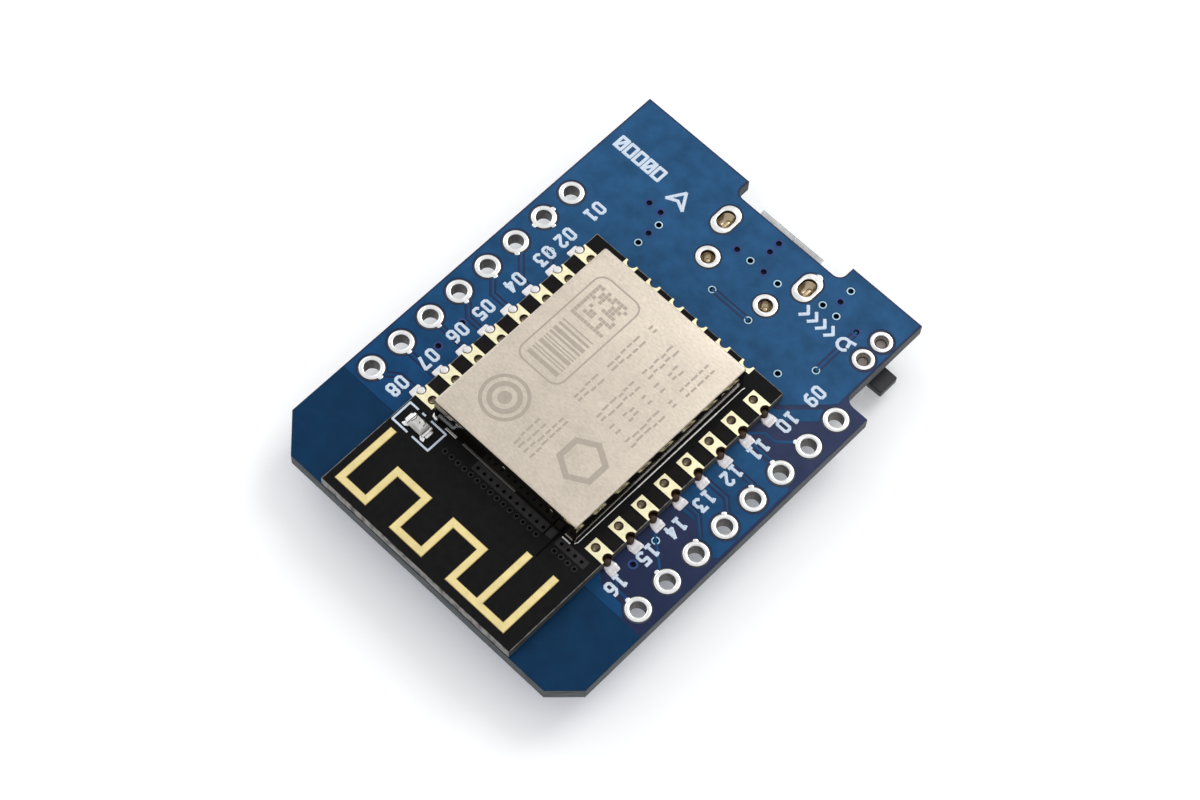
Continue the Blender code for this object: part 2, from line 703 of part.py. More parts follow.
def make_snap_spring():
    """Arched leaf behind the plunger; its ends lean on the back of the pocket."""
    rise, half = 0.45, 1.15
    radius = (half ** 2 + rise ** 2) / (2 * rise)
    spread = math.asin(half / radius)
    foot_x = SWITCH_FRONT_X - 2.5
    centre_x = foot_x + rise - radius
    steps = 8
    angles = [spread * (2 * k / steps - 1) for k in range(steps + 1)]
    path = [(centre_x + radius * math.cos(a), radius * math.sin(a)) for a in angles]
    add_part("snap_spring", plate([ribbon(path, 0.07)], PLUNGER_THICKNESS - 0.1), "spring_steel",
             (0.0, SWITCH_Y, PLUNGER_MIDDLE))


def make_plunger():
    """Reset button: a flat key held behind the base's shoulders, with a nose on the spring."""
    origin_x = SWITCH_FRONT_X
    flange = 1.25
    nose = 0.5
    nose_x = SHOULDER_X - 1.46
    back_x = SHOULDER_X - 0.55
    outline = rounded([(x - origin_x, y, radius) for x, y, radius in [
        (nose_x, -nose, 0), (back_x, -nose, 0), (back_x, -flange, 0), (SHOULDER_X, -flange, 0),
        (SHOULDER_X, -PLUNGER_HALF_WIDTH, 0), (PLUNGER_TIP_X, -PLUNGER_HALF_WIDTH + 0.04, 0.15),
        (PLUNGER_TIP_X, PLUNGER_HALF_WIDTH - 0.04, 0.15), (SHOULDER_X, PLUNGER_HALF_WIDTH, 0),
        (SHOULDER_X, flange, 0), (back_x, flange, 0), (back_x, nose, 0), (nose_x, nose, 0)]], 3)
    add_part("reset_plunger", plate([outline], PLUNGER_THICKNESS), "switch_black",
             (origin_x, SWITCH_Y, PLUNGER_MIDDLE))


# ---------------------------------------------------------------- whole board
def main():
    for leftover in list(bpy.data.objects):
        bpy.data.objects.remove(leftover)
    make_main_board()
    make_header_eyelets()
    make_module_board()
    make_shield_can()
    make_antenna()
    make_module_components()
    make_underside_components()
    make_usb_shell()
    make_usb_housing()
    make_usb_contacts()
    make_switch_base()
    make_switch_cover()
    make_switch_terminals()
    make_snap_spring()
    make_plunger()


main()
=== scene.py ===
"""Looks of the small Wi-Fi microcontroller board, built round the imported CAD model.

Every function that makes a piece works in millimetres, and add_piece() turns the result into
metres; the floor, the lights and the camera are in metres.  Artwork on the boards is drawn from
the middle of the two pin rows, as on a circuit board drawing.
"""

import math
import random

import bmesh
import bpy
from mathutils import Matrix, Vector


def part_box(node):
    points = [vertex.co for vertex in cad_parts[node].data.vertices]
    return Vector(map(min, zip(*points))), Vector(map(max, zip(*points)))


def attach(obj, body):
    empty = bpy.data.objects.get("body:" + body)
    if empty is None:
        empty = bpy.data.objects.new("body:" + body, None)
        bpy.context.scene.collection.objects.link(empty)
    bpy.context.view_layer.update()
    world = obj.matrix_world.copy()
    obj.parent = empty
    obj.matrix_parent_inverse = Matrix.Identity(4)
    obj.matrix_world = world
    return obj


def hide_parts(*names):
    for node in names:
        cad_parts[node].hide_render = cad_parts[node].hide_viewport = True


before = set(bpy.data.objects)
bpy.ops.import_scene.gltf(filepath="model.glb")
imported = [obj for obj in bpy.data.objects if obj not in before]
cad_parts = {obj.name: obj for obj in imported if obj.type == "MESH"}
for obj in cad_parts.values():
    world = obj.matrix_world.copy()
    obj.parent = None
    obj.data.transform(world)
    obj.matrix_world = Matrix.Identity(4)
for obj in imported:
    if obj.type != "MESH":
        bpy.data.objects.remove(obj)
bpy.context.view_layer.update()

MM = 0.001


# ---------------------------------------------------------------- places from the frame, mm
def span(node):
    """Lowest and highest corner of a CAD node, in millimetres."""
    low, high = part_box(node)
    return [value / MM for value in low], [value / MM for value in high]


def centre(node):
    low, high = span(node)
    return [(a + b) / 2 for a, b in zip(low, high)]


BOARD_LOW, BOARD_HIGH = span("main_pcb")
MODULE_LOW, MODULE_HIGH = span("module_pcb")
CAN_LOW, CAN_HIGH = span("shield_can")
ANTENNA_TOP = span("antenna_trace")[1][2]
EYELETS = [f"header_eyelet_{i:02d}" for i in range(1, 17)]
PINS = [centre(node) for node in EYELETS]
ROW_MIDDLE_Y = (PINS[0][1] + PINS[7][1]) / 2
BOARD_TOP = BOARD_HIGH[2]
BOARD_BOTTOM = BOARD_LOW[2]
MODULE_TOP = MODULE_HIGH[2]
UNDERSIDE = span("usb_serial_chip")[1][2]    # where the feet of the hidden parts stand

# ---------------------------------------------------------------- sizes of the details, mm
CHAMFER_LEFT = 2.2
CHAMFER_RIGHT = 1.75
NOTCH_LEFT = -3.95
NOTCH_RIGHT = 5.05
NOTCH_DEPTH = 1.25
NOTCH_R = 0.6
INSET_X = 10.9
INSET_Y = 9.75
INSET_R = 0.7

MASK = 0.03                      # thickness of the solder mask
COPPER = 0.018                   # how far masked copper stands up
INK = 0.03                       # how far printed ink stands up
PIN_HOLE_R = 0.525
RING_R = 0.83
RING_OPENING_R = 0.91
POUR_OPENING_R = 1.0

USB_X = centre("usb_shell")[0]
SLOT_PLACES = [(USB_X + side * 3.515, 13.95) for side in (-1, 1)]
REAR_PLACES = [(USB_X + side * 2.48, 11.13) for side in (-1, 1)]
POST_PLACES = [(9.84, 13.535 + side * 0.865) for side in (-1, 1)]
SLOT_PAD = (1.5, 2.25)
SLOT_HOLE = (1.04, 1.4)
REAR_PAD_R = 0.8
REAR_HOLE_R = 0.475
POST_PAD_R = 0.73

MODULE_SIDES = ((-1, MODULE_LOW[0]), (1, MODULE_HIGH[0]))    # which side, and where that edge is
SIDE_PAD_PITCH = 2.0
SIDE_PADS_Y = [5.36 - SIDE_PAD_PITCH * i for i in range(8)]
END_PADS_X = [0.2 + SIDE_PAD_PITCH * (i - 2.5) for i in range(6)]
PAD_WIDTH = 1.0
PAD_LENGTH = 1.47
END_PAD_LENGTH = 0.55
CASTELLATION_R = 0.35
MODULE_HOLE_R = 0.3
MODULE_HOLE_INSET = 1.03
FREE_END_EXTRA = 0.08            # the module's free end is drawn this much longer than the CAD's

# Vias: x, y from the middle of the pin rows.  The first list has bare rims, the second is masked.
RIMMED_VIAS = [(6.05, 16.3), (5.45, 14.3), (6.6, 14.3), (0.05, 13.4), (2.4, 13.4), (-5.85, 11.15),
               (-5.9, 9.3), (-0.25, 10.15), (2.85, 10.15), (8.25, 10.55), (6.7, 8.7), (-9.4, 4.9),
               (9.1, -4.9)]
MASKED_VIAS = [(0.5, 15.6), (0.5, 14.75), (6.1, 15.25), (8.25, 14.35), (1.2, 13.4), (-1.1, 13.4),
               (-7.4, 11.9), (-6.4, 11.9), (-5.9, 10.25), (-9.7, -2.7), (-9.6, -4.9), (9.2, -7.0)]
VIA_HOLE_R = 0.19
VIA_RIM_R = 0.27
VIA_HALO_R = 0.33
PAINTED_SHEEN_REACH = 9                  # painted sheen: the blue changes with the distance along the board, lighter towards the socket end and darker towards the antenna end, as far as this
KEEPOUT_Y = -10.05 + ROW_MIDDLE_Y    # no copper on either side beyond this, under the antenna
PLIES = (14.0, 14.0, 1.0)        # how laminate's pattern is drawn out along its woven layers


# ---------------------------------------------------------------- mesh helpers
def evaluated(holder):
    """The holder's mesh with its modifiers, as new data; the holder is removed."""
    bpy.context.scene.collection.objects.link(holder)
    bpy.context.view_layer.update()
    depsgraph = bpy.context.evaluated_depsgraph_get()
    mesh = bpy.data.meshes.new_from_object(holder.evaluated_get(depsgraph))
    bpy.data.objects.remove(holder)
    return mesh


def from_bmesh(shape):
    mesh = bpy.data.meshes.new("shape")
    shape.to_mesh(mesh)
    shape.free()
    return mesh


def welded(mesh):
    """Join coincident points and turn every face outwards."""
    shape = bmesh.new()
    shape.from_mesh(mesh)
    bmesh.ops.remove_doubles(shape, verts=shape.verts, dist=0.0001)
    bmesh.ops.recalc_face_normals(shape, faces=shape.faces)
    shape.to_mesh(mesh)
    shape.free()
    return mesh


def moved(mesh, x=0.0, y=0.0, z=0.0):
    mesh.transform(Matrix.Translation((x, y, z)))
    return mesh


def turned_about(mesh, axis, degrees):
    mesh.transform(Matrix.Rotation(math.radians(degrees), 4, axis))
    return mesh


def together(meshes):
    """Several meshes as one, still separate bodies."""
    shape = bmesh.new()
    for mesh in meshes:
        shape.from_mesh(mesh)
    return from_bmesh(shape)


def boolean(mesh, tool, operation, overlapping=False):
    """The mesh united with the tool, or with the tool cut away."""
    holder = bpy.data.objects.new("target", mesh)
    cutter = bpy.data.objects.new("tool", tool)
    bpy.context.scene.collection.objects.link(cutter)
    step = holder.modifiers.new("boolean", "BOOLEAN")
    step.operation = operation
    step.solver = "EXACT"
    step.use_self = overlapping
    step.object = cutter
    result = evaluated(holder)
    bpy.data.objects.remove(cutter)
    return welded(result)


def box(low, high, bevel=0.0, segments=2):
    """A box between two corners, with its edges rounded."""
    size = [b - a for a, b in zip(low, high)]
    middle = [(a + b) / 2 for a, b in zip(low, high)]
    shape = bmesh.new()
    bmesh.ops.create_cube(shape, size=1.0)
    bmesh.ops.scale(shape, vec=size, verts=shape.verts)
    bmesh.ops.translate(shape, vec=middle, verts=shape.verts)
    if bevel:
        bmesh.ops.bevel(shape, geom=shape.edges[:], offset=bevel, segments=segments, affect="EDGES",
                        profile=0.5)
    return from_bmesh(shape)


def plate(loops, low, high, soft=0.0):
    """A flat piece between two heights; loops after the first are holes, and soft rounds its edges."""
    curve = bpy.data.curves.new("outline", "CURVE")
    curve.dimensions = "2D"
    curve.fill_mode = "BOTH"
    curve.extrude = (high - low) / 2 - soft
    curve.bevel_depth = soft
    curve.bevel_resolution = 2
    curve.offset = -soft
    for loop in loops:
        spline = curve.splines.new("POLY")
        spline.points.add(len(loop) - 1)
        for point, (x, y) in zip(spline.points, loop):
            point.co = (x, y, 0.0, 1.0)
        spline.use_cyclic_u = True
    return moved(welded(evaluated(bpy.data.objects.new("outline", curve))), z=(low + high) / 2)


def side_plate(loop, depth, soft=0.0):
    """A flat piece whose outline is given in Y and Z, and whose depth runs along X."""
    mesh = plate([loop], -depth / 2, depth / 2, soft)
    mesh.transform(Matrix(((0, 0, 1, 0), (1, 0, 0, 0), (0, 1, 0, 0), (0, 0, 0, 1))))
    return mesh


SHARP_CORNER = 0.9               # radians; a stroke that turns more than this starts anew


def runs(path, reach):
    """A path split at its sharp corners, each run carried a little past its ends."""
    points = [Vector(point) for point in path]
    pieces = [[points[0]]]
    for i in range(1, len(points)):
        pieces[-1].append(points[i])
        if i == len(points) - 1:
            break
        turn = (points[i] - points[i - 1]).angle(points[i + 1] - points[i], 0.0)
        if turn > SHARP_CORNER:
            pieces.append([points[i]])
    for piece in pieces:
        start = (piece[0] - piece[1]).normalized() * reach
        end = (piece[-1] - piece[-2]).normalized() * reach
        piece[0] = piece[0] + start
        piece[-1] = piece[-1] + end
    return pieces


def strokes(paths, width, height, level):
    """Flattened round strokes along open paths, half sunk in the surface at that level."""
    curve = bpy.data.curves.new("strokes", "CURVE")
    curve.dimensions = "3D"
    curve.bevel_depth = width / 2
    curve.bevel_resolution = 2
    curve.use_fill_caps = True
    for path in [run for path in paths for run in runs(path, width * 0.25)]:
        spline = curve.splines.new("POLY")
        spline.points.add(len(path) - 1)
        for point, (x, y) in zip(spline.points, path):
            point.co = (x, y, 0.0, 1.0)
    mesh = welded(evaluated(bpy.data.objects.new("strokes", curve)))
    mesh.transform(Matrix.Diagonal((1, 1, height / (width / 2), 1)))
    return moved(mesh, z=level)


def turned(profile, steps=48):
    """A closed profile of (radius, height) points turned about the Z axis."""
    shape = bmesh.new()
    points = [shape.verts.new((radius, 0.0, height)) for radius, height in profile]
    for first, second in zip(points, points[1:] + points[:1]):
        shape.edges.new((first, second))
    holder = bpy.data.objects.new("profile", from_bmesh(shape))
    screw = holder.modifiers.new("turn", "SCREW")
    screw.steps = steps
    screw.render_steps = steps
    screw.use_merge_vertices = True
    screw.merge_threshold = 0.0001
    return welded(evaluated(holder))


def loft(sections):
    """A closed body through (outline, height) sections with equal numbers of points."""
    shape = bmesh.new()
    rings = [[shape.verts.new((x, y, z)) for x, y in outline] for outline, z in sections]
    shape.faces.new(rings[0][::-1])
    shape.faces.new(rings[-1])
    for low, high in zip(rings, rings[1:]):
        for i in range(len(low)):
            shape.faces.new((low[i - 1], low[i], high[i], high[i - 1]))
    bmesh.ops.recalc_face_normals(shape, faces=shape.faces)
    return from_bmesh(shape)


def stepped(low, high, levels, radius=0.0, steps=4):
    """A closed body over a rectangle, drawn in by each of its (inset, height) levels."""
    return loft([(rectangle(low[0] + d, low[1] + d, high[0] - d, high[1] - d, radius, steps), z)
                 for d, z in levels])


def shrunk(loop, scale):
    """An outline drawn in towards its middle."""
    middle_x = sum(x for x, y in loop) / len(loop)
    middle_y = sum(y for x, y in loop) / len(loop)
    return [(middle_x + (x - middle_x) * scale, middle_y + (y - middle_y) * scale) for x, y in loop]


def cushion(loop, base, height, lift=None, rings=5, sharp=3.0):
    """A closed mound on an outline, steep at its edge and flat in its middle, as solder sets."""
    sections = [(loop, base)]
    for k in range(1, rings + 1):
        inward = k / (rings + 1)
        level = base + height * (1 - (1 - inward) ** sharp) ** 0.5
        sections.append((shrunk(loop, 1 - inward ** 1.6), level))
    mesh = loft(sections)
    if lift:
        for vert in mesh.vertices:
            x, y, z = vert.co
            vert.co.z = z + lift(x, y) * (z - base) / height
    return mesh


def dish(loop, rim, sink, base, rings=7):
    """A closed fill whose top sinks from its rim to its middle, as solder wets a hole."""
    sections = [(loop, base), (loop, rim)]
    for k in range(1, rings + 1):
        inward = k / (rings + 1)
        sections.append((shrunk(loop, 1 - inward), rim - sink * (1 - (1 - inward) ** 2.2)))
    return loft(sections)


def beveled(mesh, width):
    """The mesh with its sharp edges rounded."""
    holder = bpy.data.objects.new("sharp", mesh)
    step = holder.modifiers.new("round", "BEVEL")
    step.width = width
    step.segments = 2
    step.limit_method = "ANGLE"
    step.angle_limit = math.radians(40)
    step.use_clamp_overlap = True
    return evaluated(holder)


# ---------------------------------------------------------------- outlines
def circle(x, y, radius, steps=48):
    angles = [2 * math.pi * (i + 0.5) / steps for i in range(steps)]
    return [(x + radius * math.cos(a), y + radius * math.sin(a)) for a in angles]


def slot(x, y, width, length, steps=48):
    """An upright slot with round ends."""
    straight = (length - width) / 2
    return [(x + dx, y + dy + math.copysign(straight, dy)) for dx, dy in circle(0, 0, width / 2, steps)]


def rectangle(x0, y0, x1, y1, radius=0.0, steps=4):
    return rounded([(x0, y0, radius), (x1, y0, radius), (x1, y1, radius), (x0, y1, radius)], steps)


def centred(x, y, half_x, half_y, radius=0.0, steps=4):
    return rectangle(x - half_x, y - half_y, x + half_x, y + half_y, radius, steps)


def rounded(corners, steps=6):
    """A closed outline of (x, y, radius) corners, with the round ones as arcs."""
    points = []
    for i, (x, y, radius) in enumerate(corners):
        if radius == 0:
            points.append((x, y))
            continue
        before = corners[i - 1]
        after = corners[(i + 1) % len(corners)]
        angle_in = math.atan2(before[1] - y, before[0] - x)
        angle_out = math.atan2(after[1] - y, after[0] - x)
        opening = (angle_out - angle_in + math.pi) % (2 * math.pi) - math.pi
        middle = angle_in + opening / 2
        reach = radius / abs(math.sin(opening / 2))
        turn_x = x + reach * math.cos(middle)
        turn_y = y + reach * math.sin(middle)
        sweep = math.copysign(math.pi - abs(opening), -opening)
        start = middle + math.pi - sweep / 2
        for k in range(steps + 1):
            a = start + sweep * k / steps
            points.append((turn_x + radius * math.cos(a), turn_y + radius * math.sin(a)))
    return points


def bent(path, radius, steps=5):
    """An open path with its inner corners rounded."""
    inner = [(x, y, radius) for x, y in path[1:-1]]
    return rounded([(*path[0], 0)] + inner + [(*path[-1], 0)], steps)


def evenly(count, pitch):
    return [pitch * (i - (count - 1) / 2) for i in range(count)]


def ribbon(path, width):
    """The outline of an open path drawn with a constant width and mitred corners."""
    left = []
    right = []
    for i, (x, y) in enumerate(path):
        directions = []
        if i > 0:
            directions.append((x - path[i - 1][0], y - path[i - 1][1]))
        if i < len(path) - 1:
            directions.append((path[i + 1][0] - x, path[i + 1][1] - y))
        units = [(dx / math.hypot(dx, dy), dy / math.hypot(dx, dy)) for dx, dy in directions]
        mean = (sum(u[0] for u in units), sum(u[1] for u in units))
        size = math.hypot(*mean)
        normal = (-mean[1] / size, mean[0] / size)
        stretch = abs(normal[0] * -units[0][1] + normal[1] * units[0][0])
        offset = width / 2 / stretch
        left.append((x + normal[0] * offset, y + normal[1] * offset))
        right.append((x - normal[0] * offset, y - normal[1] * offset))
    return left + right[::-1]


def shifted(points, dx=0.0, dy=0.0):
    return [(x + dx, y + dy) for x, y in points]


def on_board(points):
    """Artwork points, drawn from the middle of the pin rows, in the frame's own coordinates."""
    return shifted(points, dy=ROW_MIDDLE_Y)


# ---------------------------------------------------------------- materials
class Surface:
    """A Principled material and what varies over it, in object space with sizes in millimetres."""

    def __init__(self, name, colour, roughness, metallic=0.0, specular=0.5):
        self.material = bpy.data.materials.new(name)
        self.material.use_nodes = True
        self.nodes = self.material.node_tree.nodes
        self.links = self.material.node_tree.links
        self.shader = self.nodes["Principled BSDF"]
        self.feed(self.shader, {"Base Color": (*colour, 1.0), "Roughness": roughness,
                                "Metallic": metallic, "Specular IOR Level": specular})
        self.place = self.nodes.new("ShaderNodeTexCoord").outputs["Object"]

    def feed(self, node, inputs):
        """Set a node's inputs: a socket is linked, anything else is the input's value."""
        for name, value in inputs.items():
            if isinstance(value, bpy.types.NodeSocket):
                self.links.new(value, node.inputs[name])
            else:
                node.inputs[name].default_value = value

    def add(self, kind, inputs):
        node = self.nodes.new("ShaderNode" + kind)
        self.feed(node, inputs)
        return node

    def noise(self, size, detail, stretch=(1.0, 1.0, 1.0)):
        """Cloudy pattern whose features are about that many millimetres across."""
        scale = [1 / (size * MM * s) for s in stretch]
        place = self.add("Mapping", {"Vector": self.place, "Scale": scale}).outputs["Vector"]
        return self.add("TexNoise", {"Vector": place, "Scale": 1.0, "Detail": detail}).outputs["Fac"]

    def cells(self, size):
        cells = self.add("TexVoronoi", {"Vector": self.place, "Scale": 1 / (size * MM)})
        return cells.outputs["Distance"]

    def colours(self, pattern, *stops):
        """Base colour between two stops of (position in the pattern, colour)."""
        ramp = self.add("ValToRGB", {"Fac": pattern})
        for element, (position, colour) in zip(ramp.color_ramp.elements, stops):
            element.position = position
            element.color = (*colour, 1.0)
        self.feed(self.shader, {"Base Color": ramp.outputs["Color"]})
        return ramp.outputs["Color"]

    def shades(self, pattern, colour, weak, strong):
        """Base colour between a weaker and a stronger shade of one colour."""
        return self.colours(pattern, (0.3, tinted(colour, weak)), (0.7, tinted(colour, strong)))

    def spread(self, pattern, start, end, low=0.0, high=1.0):
        """The pattern's values from start to end, drawn out from low to high."""
        spread = self.add("MapRange", {"Value": pattern, "From Min": start, "From Max": end,
                                       "To Min": low, "To Max": high})
        return spread.outputs["Result"]

    def gloss(self, pattern, low, high):
        self.feed(self.shader, {"Roughness": self.spread(pattern, 0.3, 0.7, low, high)})

    def along_board(self):
        """The place along the board's length, in metres."""
        return self.add("SeparateXYZ", {"Vector": self.place}).outputs["Y"]

    def facing(self, axis, start, end):
        """0 to 1 as the surface's normal along that axis goes from start to end."""
        normal = self.nodes.new("ShaderNodeNewGeometry").outputs["Normal"]
        return self.spread(self.add("SeparateXYZ", {"Vector": normal}).outputs[axis], start, end)

    def mix(self, kind, factor, first, second):
        """From the first pattern to the second as the factor rises; kind is RGBA or FLOAT."""
        node = self.nodes.new("ShaderNodeMix")
        node.data_type = kind
        self.feed(node, {"Factor": factor, "A": first, "B": second})
        return node.outputs["Result"]

    def blend(self, factor, first, second):
        """Base colour that goes from the first colour to the second as the factor rises."""
        mixed = self.mix("RGBA", factor, first, second)
        self.feed(self.shader, {"Base Color": mixed})
        return mixed

    def relief(self, pattern, height, strength):
        """Bump of that height in millimetres; a second call adds to the first."""
        bump = self.add("Bump", {"Height": pattern, "Distance": height * MM, "Strength": strength})
        normal = self.shader.inputs["Normal"]
        if normal.is_linked:
            self.feed(bump, {"Normal": normal.links[0].from_socket})
        self.feed(self.shader, {"Normal": bump.outputs["Normal"]})


def tinted(colour, factor):
    return tuple(channel * factor for channel in colour)


def plain_mask(name, colour):
    """Semi-gloss solder mask of one colour, with a slightly uneven surface."""
    surface = Surface(name, colour, 0.34, specular=0.08)
    surface.gloss(surface.noise(0.5, 3), 0.28, 0.42)
    surface.relief(surface.noise(0.16, 2), 0.005, 0.5)
    return surface


def blue_mask(name, colour, dark=None):
    """Cloudy blue solder mask; where dark is given, a painted sheen makes it darker towards the antenna end
    and lighter towards the socket end.
    """
    surface = plain_mask(name, colour)
    noise = surface.noise(1.1, 5)
    light = surface.shades(noise, colour, 0.80, 1.18)
    if dark:
        # painted sheen: lighter towards the socket end, darker towards the antenna end
        painted_sheen = surface.spread(surface.along_board(), -PAINTED_SHEEN_REACH * MM, PAINTED_SHEEN_REACH * MM)
        surface.blend(painted_sheen, surface.shades(noise, dark, 0.80, 1.18), light)
    return surface


def bare_mask():
    """Mask over bare laminate: purplish where the far side has copper, greener at the antenna end; a
    painted sheen also makes it darker towards the antenna end and lighter towards the socket end.
    """
    surface = plain_mask("mask_over_laminate", (0.018, 0.028, 0.085))
    noise = surface.noise(1.3, 4)
    end = surface.colours(noise, (0.3, (0.002, 0.026, 0.072)), (0.7, (0.003, 0.034, 0.090)))
    low = surface.colours(noise, (0.3, (0.014, 0.021, 0.058)), (0.7, (0.018, 0.027, 0.076)))
    high = surface.colours(noise, (0.3, (0.026, 0.036, 0.082)), (0.7, (0.034, 0.046, 0.105)))
    # painted sheen: lighter towards the socket end, darker towards the antenna end
    painted_sheen = surface.spread(surface.along_board(), -PAINTED_SHEEN_REACH * MM, 6 * MM)
    body = surface.blend(painted_sheen, low, high)
    step = surface.spread(surface.along_board(), (KEEPOUT_Y - 0.02) * MM, (KEEPOUT_Y + 0.02) * MM)
    surface.blend(step, end, body)
    return surface


def laminate_edge(name, light, dark):
    """Sawn glass-fibre laminate: thin woven layers seen from the side."""
    surface = Surface(name, light, 0.7)
    surface.colours(surface.noise(0.09, 3, PLIES), (0.35, dark), (0.65, light))
    surface.relief(surface.noise(0.12, 4), 0.03, 0.6)
    return surface


def module_edge():
    """Sawn black laminate: pale and blotchy at its free end, nearly black along its sides."""
    surface = Surface("module_edge", (0.20, 0.19, 0.17), 0.7)
    pale = surface.colours(surface.noise(0.45, 4, (1.0, 1.0, 2.0)),
                           (0.35, (0.055, 0.050, 0.046)), (0.55, (0.235, 0.225, 0.205)))
    dark = surface.colours(surface.noise(0.09, 3, PLIES),
                           (0.35, (0.020, 0.018, 0.017)), (0.65, (0.060, 0.056, 0.052)))
    surface.blend(surface.facing("X", 0.2, 0.6), pale, dark)
    surface.relief(surface.noise(0.12, 4), 0.03, 0.6)
    return surface


def metal(name, colour, roughness, size=0.25, relief=0.006):
    surface = Surface(name, colour, roughness, metallic=1.0)
    surface.colours(surface.noise(size * 3, 3), (0.3, tinted(colour, 0.9)), (0.7, colour))
    surface.gloss(surface.noise(size, 3), roughness * 0.8, roughness * 1.25)
    surface.relief(surface.noise(size, 2), relief, 0.6)
    return surface


def can_metal():
    """Nickel-silver sheet: warm satin on top with fine rolled grain; its walls are shinier, and painted
    shade makes them darker.
    """
    colour = (0.63, 0.555, 0.46)
    surface = Surface("can_sheet", colour, 0.36, metallic=1.0)
    cloud = surface.noise(2.2, 5)
    dull = surface.shades(cloud, colour, 0.84, 0.94)
    bright = surface.shades(cloud, colour, 1.0, 1.10)
    face = surface.blend(surface.spread(surface.noise(0.11, 3, (2.5, 1.0, 1.0)), 0.32, 0.68), dull, bright)
    # painted shade: the walls, which face sideways, are drawn at about a third of the top's colour
    wall = surface.shades(cloud, colour, 0.26, 0.36)
    surface.blend(surface.facing("Z", 0.0, 0.5), wall, face)
    satin = surface.spread(surface.noise(0.7, 4), 0.3, 0.7, 0.33, 0.43)
    walls = surface.spread(surface.noise(0.35, 3, (1.0, 1.0, 9.0)), 0.3, 0.7, 0.04, 0.11)
    roughness = surface.mix("FLOAT", surface.facing("Z", 0.35, 0.85), walls, satin)
    surface.feed(surface.shader, {"Roughness": roughness})
    surface.relief(surface.noise(0.10, 4, (6.0, 1.0, 1.0)), 0.004, 0.35)
    surface.relief(surface.noise(0.07, 2), 0.009, 0.45)
    return surface


def moulded(name, colour, roughness, grain=0.07, specular=0.35):
    """Moulded plastic or compound with a fine spark-eroded grain."""
    surface = Surface(name, colour, roughness, specular=specular)
    surface.shades(surface.noise(0.6, 4), colour, 0.8, 1.25)
    surface.gloss(surface.noise(0.3, 2), roughness * 0.9, roughness * 1.1)
    surface.relief(surface.noise(grain, 2), 0.012, 0.5)
    return surface


def ceramic(name, colour):
    surface = Surface(name, colour, 0.45, specular=0.5)
    surface.shades(surface.noise(0.12, 3), colour, 0.78, 1.15)
    surface.relief(surface.cells(0.05), 0.006, 0.5)
    return surface


def ink():
    """Printed white legend, slightly porous so that some blue shows."""
    surface = Surface("legend_ink", (0.62, 0.71, 0.81), 0.65)
    surface.colours(surface.noise(0.09, 3), (0.28, (0.34, 0.46, 0.62)), (0.45, (0.63, 0.72, 0.82)))
    surface.relief(surface.noise(0.06, 2), 0.008, 0.6)
    return surface



